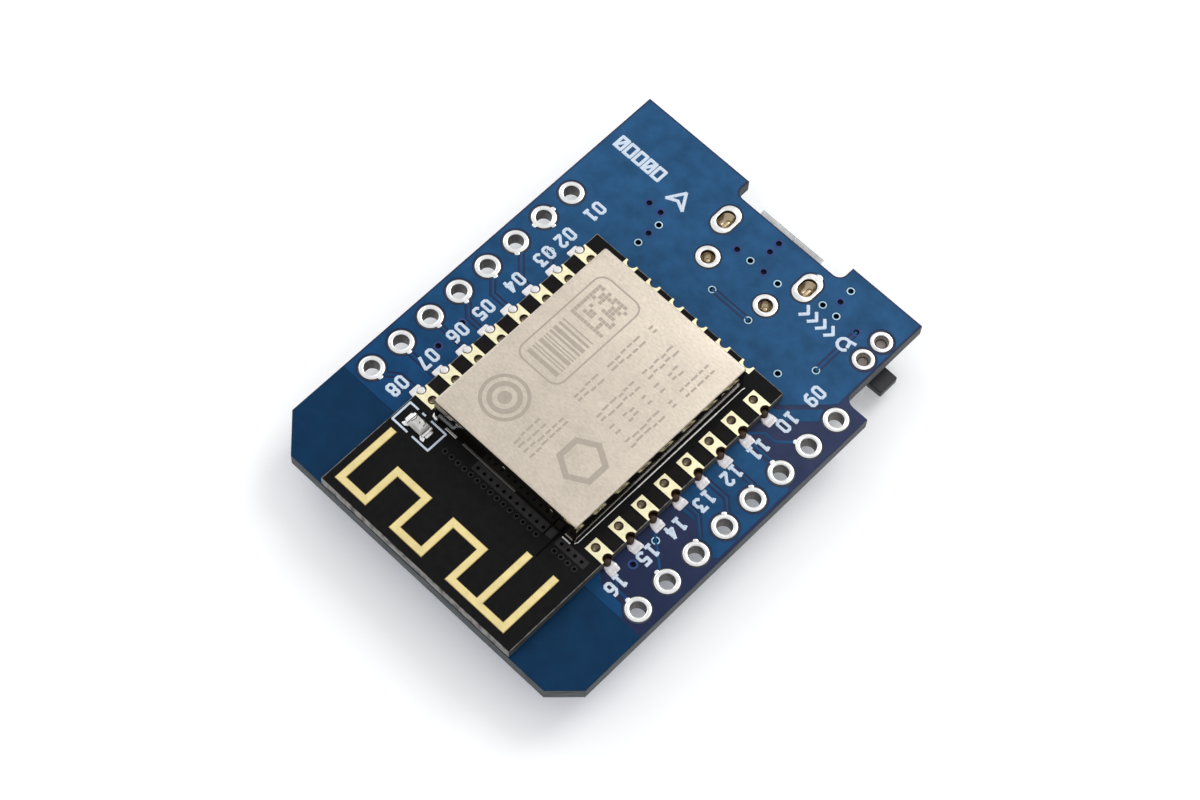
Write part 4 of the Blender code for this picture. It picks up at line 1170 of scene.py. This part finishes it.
def make_lamp():
    """Small lamp: a white base with tinned ends in solder, a clear lens, the die seen dark in it, and
    painted shade as thin dark strips just inside the tinned ends.
    """
    x, y, z = centre("module_led")
    low = span("module_led")[0][2]
    high = span("module_led")[1][2]
    base = box((x - 0.70, y - 0.42, low), (x + 0.70, y + 0.42, low + 0.24), 0.04)
    lens_levels = [(0.0, low + 0.22), (0.02, low + 0.40), (0.09, high - 0.04), (0.14, high)]
    lens = stepped((x - 0.54, y - 0.38), (x + 0.54, y + 0.38), lens_levels, 0.06)
    add_piece("lamp_body", [base, lens], "lens", "led_lens", replaces=["module_led"])
    ends = []
    for side in (-1, 1):
        inner, outer = sorted((x + side * 0.62, x + side * 0.80))
        ends.append(box((inner, y - 0.42, low), (outer, y + 0.42, low + 0.27), 0.05))
        near = x + side * 0.72
        foot = x + side * 0.98
        back = near - side * 0.25
        blob = rounded([(near, y - 0.28, 0.05), (foot - side * 0.1, y - 0.34, 0.08), (foot, y - 0.60, 0.06),
                        (foot - side * 0.3, y - 0.62, 0.05), (back, y - 0.44, 0.05),
                        (back, y - 0.30, 0.05)], 4)
        fillet = rectangle(min(near, foot), y - 0.30, max(near, foot) - 0.02, y + 0.34, 0.08)
        ends.append(cushion(blob, MODULE_TOP, 0.10, sharp=4.0))
        ends.append(cushion(fillet, MODULE_TOP, 0.12, sharp=4.0))
    add_piece("lamp_ends", ends, "bead", "led_lens")
    marks = [shifted(mark, x, y) for mark in ([(-0.40, 0.26), (-0.30, 0.05), (-0.38, -0.24)],
                                              [(0.00, 0.06), (0.08, 0.04), (0.06, -0.04)],
                                              [(0.20, 0.28), (0.36, 0.22), (0.38, -0.02)])]
    # painted shade: thin dark strips just inside the lamp's tinned ends
    shade = [plate([centred(x + side * 0.59, y, 0.025, 0.40)], low + 0.02, low + 0.25) for side in (-1, 1)]
    add_piece("lamp_die_and_painted_shade", [strokes(marks, 0.06, 0.012, high - 0.004)] + shade, "die_and_painted_shade", "led_lens")


# ---------------------------------------------------------------- shield can
def make_shield_can():
    """Drawn lid with a tight bend round its top, a step where it meets its frame, dimples and solder."""
    x0, y0, z0 = CAN_LOW
    x1, y1, z1 = CAN_HIGH
    bend = 0.10
    sheet = 0.15
    step_z = z1 - 0.85
    lean = 0.12                  # the near wall's foot stands out this far

    def outline(grow, near=0.0):
        return rectangle(x0 - grow, y0 - grow - near, x1 + grow, y1 + grow, 0.17, 6)

    def near_lean(z):
        return lean * (z1 - z) / (z1 - z0)

    sections = [(outline(0.0, lean), z0), (outline(0.0, near_lean(step_z)), step_z - 0.02),
                (outline(0.02, near_lean(step_z)), step_z),
                (outline(0.02, near_lean(z1 - bend)), z1 - bend - 0.05)]
    for k in range(6):
        a = math.pi / 2 * k / 5
        sections.append((outline(-bend * (1 - math.cos(a)), near_lean(z1)), z1 - bend * (1 - math.sin(a))))
    hollow = loft([(outline(-sheet, lean), z0 - 1), (outline(-sheet), z1 - sheet)])
    can = boolean(loft(sections), hollow, "DIFFERENCE")
    add_piece("can_lid", can, "can", "can_steel", replaces=["shield_can"], angle=30)
    middle_x = (x0 + x1) / 2
    middle_y = (y0 + y1) / 2
    places = [("Y", 90 * side, x + side * 0.015, middle_y + shift)
              for shift in (-5.4, -1.9, 1.9, 5.4) for side, x in ((-1, x0), (1, x1))]
    places += [("X", turn, middle_x + shift, y)
               for shift in (-4.0, 0.0, 4.0) for turn, y in ((90, y0 - 0.04), (-90, y1 + 0.015))]
    dimples = []
    for axis, turn, x, y in places:
        dot = turned_about(cushion(circle(0, 0, 0.13, 20), 0.0, 0.035), axis, turn)
        dimples.append(moved(dot, x, y, step_z + 0.25))
    add_piece("can_dimples", dimples, "can", "can_steel")
    level = MODULE_TOP
    near = y0 - lean - 0.04 - ROW_MIDDLE_Y
    right = x1 + 0.15
    thick = [[(right, 3.6), (right, -3.4)], [(5.2, near - 0.09), (5.8, near - 0.09)]]
    far = y1 + 0.12 - ROW_MIDDLE_Y
    thin = [[(right + 0.05, 6.1), (right, 5.9), (right, 3.5)],
            [(right, -3.3), (right - 0.03, -8.6), (right - 0.12, -8.8)],
            [(-4.9, near), (-4.0, near)], [(x0 - 0.12, 5.6), (x0 - 0.12, -8.0)],
            [(-5.0, far), (5.2, far)]]
    beads = [strokes([on_board(path) for path in thick], 0.12, 0.05, level),
             strokes([on_board(path) for path in thin], 0.08, 0.035, level)]
    corner = [(x0 - 0.14, -8.42), (x0 + 0.02, -8.5), (x0 + 0.1, -8.8), (x0 + 0.42, -8.9),
              (x0 + 0.30, -9.0), (x0 - 0.02, -8.95), (x0 - 0.12, -8.7)]
    beads.append(cushion(on_board(corner), level, 0.22, rings=4))
    add_piece("can_solder_bead", beads, "bead", "can_steel")
    dull = strokes([on_board([(-3.4, near), (1.05, near)])], 0.07, 0.03, level)
    add_piece("can_dull_bead", dull, "dull_bead", "can_steel")


def make_can_marks():
    """Faint etched marks on the lid: a framed dot square, bars, dashes, a target and a hexagon."""
    level = CAN_HIGH[2]
    cells = random.Random(11)
    loops = []
    side = 0.27
    for row in range(10):
        for column in range(10):
            if row == 0 or column == 0 or cells.random() < 0.45:
                x = -4.45 + side * column
                y = 1.45 + side * row
                loops.append(rectangle(x, y, x + side - 0.03, y + side - 0.03))
    y = -2.4
    while y < 0.9:
        width = cells.choice((0.10, 0.18, 0.30))
        loops.append(rectangle(-4.4, y, -1.85, y + width))
        y += width + cells.choice((0.12, 0.2))
    dashes = []
    for x, first, last in ((0.05, -2.6, 4.2), (1.95, -2.6, 3.8), (3.1, -2.6, 3.7), (4.4, -2.6, 4.5),
                           (-0.35, -7.4, -4.6), (0.55, -7.4, -3.8)):
        y = first
        while y < last:
            width = cells.choice((0.34, 0.42, 0.42, 0.55))
            high = cells.choice((0.50, 0.66, 0.66))
            dashes.append(rectangle(x - high / 2, y, x - high / 2 + 0.15, y + width))
            dashes.append(rectangle(x + high / 2 - 0.15, y, x + high / 2, y + width))
            y += width + (0.75 if cells.random() < 0.16 else 0.14)
    plates = [plate([on_board(loop)], level - 0.002, level + 0.003) for loop in loops + dashes]
    groups = [[circle(-3.1, -5.6, radius) for radius in radii]
              for radii in ((1.62, 1.38), (1.12, 0.78), (0.45,))]
    groups.append([circle(3.2, -5.3, radius, 6) for radius in (1.65, 1.2)])
    groups.append([centred(-3.1, 0.925, 1.85 - inset, 3.925 - inset, corner, 8)
                   for inset, corner in ((0.0, 0.8), (0.12, 0.7))])
    plates += [plate([on_board(loop) for loop in group], level - 0.002, level + 0.003) for group in groups]
    add_piece("can_etched_marks", plates, "etched", "can_steel")


# ---------------------------------------------------------------- USB socket
USB_WALL = 0.2
USB_HALF_WIDTH = 3.75
USB_NARROW_HALF_WIDTH = 2.75
USB_FLARE = 0.25
USB_LIP_LENGTH = 0.45
USB_SEAM_X = 0.66


def usb_section(bottom, top):
    """The socket across its length, in X and Z: the narrow side faces the board."""
    right = [(USB_HALF_WIDTH, bottom, 0.45), (USB_HALF_WIDTH, bottom + 1.3, 0.3),
             (USB_NARROW_HALF_WIDTH, top, 0.3)]
    left = [(-x, z, radius) for x, z, radius in right]
    return rounded(left[:1] + right + left[:0:-1])


def usb_flap(x0, x1, root_y, tip_y, level, rise):
    """One flap of the flared mouth: it leaves the sleeve flat and bends outwards."""
    sheet = USB_WALL - 0.04
    path = bent([(root_y - 0.25, level), (root_y + 0.1, level), (tip_y, level + rise)], 0.25)
    return moved(side_plate(ribbon(path, sheet), x1 - x0, 0.03), x=(x0 + x1) / 2)


def make_usb_shell():
    """Folded sheet socket with a seam, a flared mouth of separate flaps, latch windows and four legs."""
    low, high = span("usb_shell")
    back, mouth = low[1], high[1]
    bottom = low[2] + USB_FLARE
    top = UNDERSIDE
    root = mouth - USB_LIP_LENGTH
    outer = usb_section(bottom, top)
    middle = (bottom + top) / 2
    narrower = 1 - USB_WALL / USB_HALF_WIDTH
    lower = 1 - 2 * USB_WALL / (top - bottom)
    inner = [(x * narrower, middle + (z - middle) * lower) for x, z in outer]
    sleeve = plate([outer, inner], -(root - back) / 2, (root - back) / 2, 0.03)
    sleeve.transform(Matrix(((1, 0, 0, USB_X), (0, 0, 1, (root + back) / 2), (0, 1, 0, 0), (0, 0, 0, 1))))
    sleeve = welded(sleeve)
    seam = USB_SEAM_X
    cuts = [box((seam - 0.03, back - 0.5, top - 0.4), (seam + 0.03, mouth, top + 0.5))]
    for side in (-1, 1):
        x = USB_X + side * 1.9
        cuts.append(box((x - 0.42, back + 1.5, bottom - 0.5), (x + 0.42, back + 3.0, bottom + 0.4)))
    sleeve = boolean(sleeve, together(cuts), "DIFFERENCE")
    half = USB_NARROW_HALF_WIDTH - 0.14
    upper = top - USB_WALL / 2
    lower = bottom + USB_WALL / 2
    ends = [(USB_X - half, seam - 0.025), (seam + 0.025, USB_X + half)]
    lip = [usb_flap(x0, x1, root, mouth, upper, USB_FLARE) for x0, x1 in ends]
    # painted reflection: the lip's near-white surface stands in for the nickel's bright reflection
    add_piece("usb_socket_lip", lip, "lip", "bright_steel", angle=30)
    # Painted shade: a thin dark strip along each flap's tip, and a dark block under the seam.
    cut = ribbon([(mouth + 0.005, upper + USB_FLARE), (mouth + 0.045, upper + USB_FLARE - 0.06)], 0.03)
    rims = [moved(side_plate(cut, x1 - x0), x=(x0 + x1) / 2) for x0, x1 in ends]
    rims.append(box((seam - 0.06, root, upper - 0.12), (seam + 0.06, mouth - 0.02, upper - 0.02)))
    add_piece("usb_lip_painted_shade", rims, "die_and_painted_shade", "bright_steel")
    flaps = [usb_flap(USB_X - 3.2, USB_X + 3.2, root, mouth, lower, -USB_FLARE)]
    for side in (-1, 1):
        x = USB_HALF_WIDTH - USB_WALL / 2
        path = bent([(x, root - 0.25), (x, root + 0.1), (x + 0.2, mouth)], 0.25)
        outline = ribbon([(USB_X + side * px, y) for px, y in path], USB_WALL - 0.04)
        flaps.append(plate([outline], bottom + 0.45, bottom + 1.2, 0.03))
    legs = []
    tip = BOARD_TOP - 0.75
    for side in (-1, 1):
        x = USB_X + side * 3.6
        y = SLOT_PLACES[0][1]
        legs.append(loft([(centred(x, y, 0.12 - d, 0.45 - 2 * d), level)
                          for d, level in ((0.0, 1.3), (0.0, tip - 0.3), (0.05, tip))]))
        x, y = REAR_PLACES[(side + 1) // 2]
        legs.append(stepped((x - 0.25, y - 0.12), (x + 0.25, y + 0.12),
                            [(0.0, top - 0.18), (0.0, tip - 0.3), (0.05, tip)]))
    add_piece("usb_socket_shell", [sleeve] + flaps + legs, "nickel", "bright_steel",
              replaces=["usb_shell"], angle=30)


def make_usb_housing():
    """Insulator: a block behind the tongue, whose grooves hold the contacts."""
    low, high = span("usb_housing")
    tongue_low = low[2] + 0.6
    contacts = [centre(f"usb_contact_{i}")[0] for i in range(1, 6)]
    block = box((low[0], low[1], low[2]), (high[0], 13.3, high[2]))
    tongue = box((USB_X - 1.95, 13.0, tongue_low), (USB_X + 1.95, high[1], high[2]))
    body = beveled(boolean(block, tongue, "UNION"), 0.08)
    grooves = [box((x - 0.19, 13.5, high[2] - 0.05), (x + 0.19, high[1] - 0.12, high[2] + 0.2))
               for x in contacts]
    add_piece("usb_insulator", boolean(body, together(grooves), "DIFFERENCE"), "nylon", "switch_black",
              replaces=["usb_housing"])


# ---------------------------------------------------------------- reset switch
def make_switch():
    """Moulded base with chamfered posts, a folded cover staked to it, and bent terminals."""
    low, high = span("switch_base")
    middle_y = (low[1] + high[1]) / 2
    front, back = high[0], low[0]
    top = UNDERSIDE
    base = box((back, low[1], low[2]), (front, high[1], top))
    ceiling = span("reset_plunger")[1][2] + 0.06
    pocket = box((front - 2.6, middle_y - 1.35, low[2] - 0.5), (front - 0.45, middle_y + 1.35, ceiling))
    mouth = box((front - 0.65, middle_y - 0.88, low[2] - 0.5), (front + 0.5, middle_y + 0.88, ceiling))
    cavity = boolean(pocket, mouth, "UNION")
    body = beveled(boolean(base, cavity, "DIFFERENCE"), 0.06)
    ribs = [box((back - 0.01, y - 0.25, top - 1.2), (back + 0.1, y + 0.25, top - 0.3), 0.03)
            for y in (middle_y - 1.5, middle_y, middle_y + 1.5)]
    add_piece("switch_body", [body] + ribs, "nylon", "switch_black", replaces=["switch_base"])
    tip = high[2]
    profile = [(0.0, tip), (0.30, tip), (0.40, tip - 0.12), (0.40, top - 0.1), (0.0, top - 0.1)]
    posts = [moved(turned(profile, 32), x, y) for x, y in POST_PLACES]
    add_piece("switch_posts", posts, "post", "switch_black")
    cover_low, cover_high = span("switch_cover")
    sheet = 0.15
    half = (cover_high[1] - cover_low[1]) / 2 - sheet / 2
    level = cover_low[2] + sheet / 2
    rim = cover_high[2]
    path = bent([(middle_y - half, rim), (middle_y - half, level), (middle_y + half, level),
                 (middle_y + half, rim)], 0.22)
    cover = side_plate(ribbon(path, sheet), cover_high[0] - cover_low[0], 0.02)
    cover = moved(cover, x=(cover_low[0] + cover_high[0]) / 2)
    stakes = [(front - dx, middle_y + dy) for dx in (2.75, 0.45) for dy in (-1.75, 1.75)]
    holes = [plate([circle(x, y, 0.24, 24)], level - 1, level + 0.2) for x, y in stakes]
    window = plate([centred(front - 1.1, middle_y, 0.35, 0.5, 0.15)], level - 1, level + 0.2)
    cover = boolean(cover, together(holes + [window]), "DIFFERENCE")
    add_piece("switch_lid", cover, "nickel", "bright_steel", replaces=["switch_cover"])
    pins = [moved(turned_about(cushion(circle(0, 0, 0.33, 24), -0.04, 0.10), "X", 180), x, y, cover_low[2])
            for x, y in stakes]
    add_piece("switch_stakes", pins, "nylon", "switch_black")
    for node in ("switch_terminal_1", "switch_terminal_2"):
        t_low, t_high = span(node)
        sheet = 0.14
        side = 1 if centre(node)[1] > middle_y else -1
        root, far = (t_low[1], t_high[1])[::side]
        path = bent([(root + side * sheet / 2, t_low[2]), (root + side * sheet / 2, top - sheet / 2),
                     (far, top - sheet / 2)], 0.12)
        blade = side_plate(ribbon(path, sheet), t_high[0] - t_low[0], 0.02)
        blade = moved(blade, x=(t_low[0] + t_high[0]) / 2)
        add_piece(node.replace("switch_terminal", "switch_blade"), blade, "tin", "tinned", replaces=[node])


def make_reset_key():
    """The key that is pressed: soft edges, a nose on the spring and shoulders behind the base."""
    low, high = span("reset_plunger")
    middle_y = (low[1] + high[1]) / 2
    half = 0.82
    shoulder = (high[1] - low[1]) / 2
    nose = 0.5
    shoulder_x = span("switch_base")[1][0] - 0.5
    back_x = shoulder_x - 0.55
    outline = rounded([(x, middle_y + y, radius) for x, y, radius in [
        (low[0], -nose, 0.1), (back_x, -nose, 0), (back_x, -shoulder, 0.08), (shoulder_x, -shoulder, 0.08),
        (shoulder_x, -half, 0), (high[0], -half + 0.04, 0.10), (high[0], half - 0.04, 0.10),
        (shoulder_x, half, 0), (shoulder_x, shoulder, 0.08), (back_x, shoulder, 0.08), (back_x, nose, 0),
        (low[0], nose, 0.1)]], 5)
    key = plate([outline], low[2], high[2], 0.045)
    add_piece("reset_key", key, "acetal", "plunger_black", replaces=["reset_plunger"], body="reset_button")


# ---------------------------------------------------------------- hidden parts on the underside
LEADED = {
    # node: (length, width, height), stand-off, places of the leads on one side and on the other,
    #       width over the leads, width of a lead, turn in degrees
    "usb_serial_chip": ((9.9, 3.9, 1.6), 0.12, evenly(8, 1.27), evenly(8, 1.27), 6.0, 0.42, 0),
    "regulator": ((2.9, 1.6, 1.15), 0.10, evenly(3, 0.95), [-0.95, 0.95], 2.8, 0.38, 0),
    "transistor_1": ((2.9, 1.3, 1.05), 0.10, [0.0], [-0.95, 0.95], 2.4, 0.4, 90),
    "transistor_2": ((2.9, 1.3, 1.05), 0.10, [0.0], [-0.95, 0.95], 2.4, 0.4, 90),
    "diode": ((1.6, 2.7, 1.1), 0.10, [0.0], [0.0], 3.8, 0.6, 0),
}
SMALL_CHIPS = [(f"capacitor_{i}", "capacitor", "capacitor_ceramic", 0.35) for i in range(1, 6)]
SMALL_CHIPS += [(f"resistor_{i}", "alumina", "resistor_ceramic", 0.32) for i in range(1, 6)]
SMALL_CHIPS += [("polyfuse", "fuse", "fuse_green", 0.5)]
SOLDER_DROP = -0.05              # the board's face below a part's feet, in the part's own frame


def add_under(node, ending, mesh, look, slot_name, turn=0, **options):
    """Add a piece of a part on the underside, built feet down at the part's own origin."""
    if isinstance(mesh, list):
        mesh = together(mesh)
    x, y, z = centre(node)
    mesh = turned_about(turned_about(mesh, "X", 180), "Z", turn)
    add_piece(f"{node}_{ending}", moved(mesh, x, y, UNDERSIDE), look, slot_name, **options)


def moulding(length, width, low, high):
    """A moulded package body, widest at its parting line, with a dimple beside pin 1."""
    draft = 0.07
    waist = (low + high) / 2
    levels = [(draft + 0.05, low), (draft, low + 0.05), (0.0, waist - 0.03),
              (0.0, waist + 0.03), (draft, high - 0.05), (draft + 0.05, high)]
    body = stepped((-length / 2, -width / 2), (length / 2, width / 2), levels, 0.1, 3)
    size = min(0.26, width / 7)
    spot = circle(-length / 2 + 2.2 * size + draft, width / 2 - 2.2 * size - draft, size, 24)
    return boolean(body, plate([spot], high - 0.05, high + 0.2), "DIFFERENCE")


def land(x, y, width, length):
    """Solder on one land, round a foot that stands on it."""
    return cushion(centred(x, y, width / 2, length / 2, 0.06, 3), SOLDER_DROP, 0.10, rings=4, sharp=4.0)


def make_leaded_parts():
    """Chips with bent leads, each foot in its solder."""
    for node, (size, standoff, near, far, reach, lead_width, turn) in LEADED.items():
        length, width, height = size
        add_under(node, "body", moulding(length, width, standoff, height), "compound", "chip_black", turn,
                  replaces=[node], angle=35)
        sheet = min(0.2, standoff * 1.6)
        rise = (standoff + height) / 2
        half = width / 2
        foot = reach / 2
        path = [(half - 0.2, rise), (half + 0.3 * (foot - half), rise),
                (half + 0.55 * (foot - half), sheet / 2), (foot, sheet / 2)]
        blade = ribbon(bent(path, 0.12, 4), sheet)
        leads = []
        solder = []
        for places, side in ((near, 1), (far, -1)):
            for x in places:
                lead = side_plate([(side * y, z) for y, z in blade], lead_width, 0.02)
                leads.append(moved(lead, x=x))
                solder.append(land(x, side * (foot - 0.12), lead_width + 0.16, 0.85))
        add_under(node, "leads", leads, "tin", "chip_black", turn)
        add_under(node, "solder", solder, "solder", "chip_black", turn)


def make_small_chips():
    """Capacitors, resistors and the fuse: a body with tinned ends, and a glaze on the resistors."""
    for node, look, slot_name, cap in SMALL_CHIPS:
        low, high = span(node)
        width = high[0] - low[0]
        depth = high[1] - low[1]
        turn = 90 if depth > width else 0
        length, width = max(width, depth), min(width, depth)
        height = high[2] - low[2]
        body = box((-length / 2 + 0.08, -width / 2 + 0.02, 0.02),
                   (length / 2 - 0.08, width / 2 - 0.02, height - 0.02), 0.04)
        add_under(node, "body", body, look, slot_name, turn, replaces=[node])
        ends = []
        solder = []
        for side in (-1, 1):
            inner, outer = sorted((side * length / 2, side * (length / 2 - cap)))
            ends.append(box((inner, -width / 2, 0.0), (outer, width / 2, height), 0.06, 3))
            solder.append(land(side * (length / 2 - 0.02), 0.0, cap + 0.45, width + 0.14))
        add_under(node, "ends", ends, "tin", slot_name, turn)
        add_under(node, "solder", solder, "solder", slot_name, turn)
        if look == "alumina":
            glaze = box((cap - length / 2 - 0.02, -width / 2 + 0.03, height - 0.03),
                        (length / 2 - cap + 0.02, width / 2 - 0.03, height + 0.01), 0.015)
            add_under(node, "glaze", glaze, "resistor", slot_name, turn)


def make_serial_crystal():
    """Ceramic base with a seam-welded lid."""
    node = "serial_crystal"
    low, high = span(node)
    length = high[1] - low[1]
    width = high[0] - low[0]
    height = high[2] - low[2]
    base = stepped((-length / 2, -width / 2), (length / 2, width / 2),
                   [(0.03, 0.0), (0.0, 0.04), (0.0, height * 0.5), (0.04, height * 0.55)], 0.25)
    add_under(node, "base", base, "crystal_base", "bright_steel", 90)
    lid = stepped((0.2 - length / 2, 0.2 - width / 2), (length / 2 - 0.2, width / 2 - 0.2),
                  [(0.0, height * 0.5), (0.0, height * 0.7), (0.12, height * 0.74),
                   (0.16, height * 0.95), (0.24, height)], 0.3)
    add_under(node, "lid", lid, "nickel", "bright_steel", 90, replaces=[node])
    solder = [land(side * (length / 2 - 0.1), 0.0, 0.9, width * 0.8) for side in (-1, 1)]
    add_under(node, "solder", solder, "solder", "tinned", 90)


# ---------------------------------------------------------------- artwork on the underside
def make_under_copper():
    """Lower copper area under its mask, with tracks from the pins to the hidden parts."""
    outline = rounded([(-12.6, -10.05, 0), (12.6, -10.05, 0), (12.6, 9.0, 0), (10.7, 9.4, 0),
                       (10.7, 17.45, 0), (5.25, 17.45, 0), (5.25, 16.2, 0.8), (-4.15, 16.2, 0.7),
                       (-4.15, 17.45, 0), (-12.6, 17.45, 0)])
    paths = []
    for i, (x, y, z) in enumerate(PINS):
        side = math.copysign(1.0, x)
        step = 0.9 if i % 2 else -0.7
        paths.append([(side * 10.5, y), (side * 9.5, y), (side * (9.5 - abs(step)), y + step),
                      (side * 6.4, y + step)])
    for k in range(4):
        lead_x = -4.0 + 1.27 * k
        far_x = -6.0 + 0.6 * k
        paths.append([(lead_x, -1.0), (lead_x, -4.0 - 0.5 * k), (far_x, -6.0 - 0.5 * k), (far_x, -8.8)])
    lands = []
    for node in list(LEADED) + [name for name, *rest in SMALL_CHIPS] + ["serial_crystal"]:
        (x0, y0, z0), (x1, y1, z1) = span(node)
        lands.append(rectangle(x0 - 0.4, y0 - 0.4, x1 + 0.4, y1 + 0.4, 0.2))
    tools = copper_clearances(BOARD_BOTTOM, paths, lands)
    area = boolean(plate([on_board(outline)], BOARD_BOTTOM - COPPER, BOARD_BOTTOM + 0.005), together(tools),
                   "DIFFERENCE", overlapping=True)
    add_piece("under_copper_area", area, "mask_over_copper", "blue_laminate")
    add_piece("under_tracks", strokes(paths, TRACE_WIDTH, COPPER + 0.01, BOARD_BOTTOM), "mask_over_copper",
              "blue_laminate")


def make_under_pads():
    """Tinned pads on the underside: the socket's legs, the switch's terminals and the contacts."""
    level = BOARD_BOTTOM
    pads = socket_pads(level - 0.05, level + 0.02, 0.02)
    for node in ("switch_terminal_1", "switch_terminal_2"):
        x, y, z = centre(node)
        pads.append(plate([centred(x, y, 0.6, 0.5, 0.1)], level - 0.05, level + 0.005))
    for i in range(1, 6):
        x, y, z = centre(f"usb_contact_{i}")
        pads.append(plate([rectangle(x - 0.2, 9.9, x + 0.2, 10.7, 0.05)], level - 0.05, level + 0.005))
    add_piece("under_pads", pads, "tin", "tinned")


def make_under_legend():
    """Pin numbers and part outlines printed on the underside."""
    paths = []
    for i, (x, y, z) in enumerate(PINS):
        paths += number_paths(i + 1, -math.copysign(UNDER_LABEL_X, x), y)
    for node in ("usb_serial_chip", "regulator", "diode", "polyfuse", "serial_crystal"):
        (x0, y0, z0), (x1, y1, z1) = span(node)
        gap = 0.35
        x0, x1 = -x1 - gap, -x0 + gap
        y0, y1 = y0 - gap, y1 + gap
        paths += [[(x0 + 0.8, y0), (x0, y0), (x0, y1), (x0 + 0.8, y1)],
                  [(x1 - 0.8, y0), (x1, y0), (x1, y1), (x1 - 0.8, y1)]]
    arrow = [(4.6, -11.6), (5.6, -12.5), (4.6, -13.4)]
    paths.append(arrow)
    mesh = strokes(paths, UNDER_STROKE, INK, 0.0)
    add_piece("under_legend", moved(turned_about(mesh, "Y", 180), z=BOARD_BOTTOM - COPPER), "ink",
              "blue_laminate")


# ---------------------------------------------------------------- stage, lights and camera
def make_stage():
    """A pale floor, which glows a little, under a nearly white sky."""
    bpy.ops.mesh.primitive_plane_add(size=1.6)
    floor = bpy.context.object
    floor.name = "floor"
    paper = Surface("white_paper", (0.95, 0.95, 0.95), 0.8, specular=0.2)
    paper.relief(paper.noise(0.4, 4), 0.01, 0.2)
    paper.feed(paper.shader, {"Emission Color": (1.0, 1.0, 1.0, 1.0), "Emission Strength": 0.12})
    floor.data.materials.append(paper.material)
    world = bpy.data.worlds.new("studio")
    world.use_nodes = True
    sky = world.node_tree.nodes["Background"]
    sky.inputs["Color"].default_value = (0.97, 0.98, 1.0, 1.0)
    sky.inputs["Strength"].default_value = 0.85
    bpy.context.scene.world = world


def add_softbox(name, place, size, power):
    """A square area light aimed at the board."""
    data = bpy.data.lights.new(name, "AREA")
    data.shape = "RECTANGLE"
    data.size = data.size_y = size
    data.energy = power
    light = bpy.data.objects.new(name, data)
    light.location = place
    light.rotation_euler = (-light.location).to_track_quat("-Z", "Y").to_euler()
    bpy.context.scene.collection.objects.link(light)


def make_lights():
    add_softbox("key", (0.02, 0.37, 0.42), 0.26, 0.85)
    add_softbox("fill", (-0.38, 0.10, 0.34), 0.22, 0.20)


def make_camera():
    data = bpy.data.cameras.new("camera")
    data.lens = 85.26
    data.sensor_width = 36.0
    data.clip_start = 0.001
    camera = bpy.data.objects.new("camera", data)
    camera.location = (0.049708, -0.060760, 0.161758)
    camera.rotation_euler = [math.radians(a) for a in (26.102, -2.111, 43.983)]
    bpy.context.scene.collection.objects.link(camera)
    bpy.context.scene.camera = camera


def repaint_inner_parts():
    """Give the CAD nodes that no piece replaces their finished materials."""
    looks = {"wifi_chip": "compound", "flash_chip": "compound", "module_crystal": "nickel",
             "snap_spring": "spring"}
    looks.update({f"usb_contact_{i}": "gold" for i in range(1, 6)})
    looks.update({f"module_capacitor_{i}": "capacitor" for i in range(1, 5)})
    for node, look in looks.items():
        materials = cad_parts[node].data.materials
        materials.clear()
        materials.append(MATERIALS[look].material)


make_stage()
make_lights()
make_camera()
make_main_board()
make_top_copper()
make_eyelets()
make_vias()
make_leg_pads()
make_legend()
make_module_board()
make_module_pads()
make_castellations()
make_module_solder()
make_antenna()
make_module_artwork()
make_shield_can()
make_can_marks()
make_lamp()
make_usb_shell()
make_usb_housing()
make_switch()
make_reset_key()
make_leaded_parts()
make_small_chips()
make_serial_crystal()
make_under_copper()
make_under_pads()
make_under_legend()
repaint_inner_parts()

bpy.context.scene.view_settings.view_transform = "Standard"
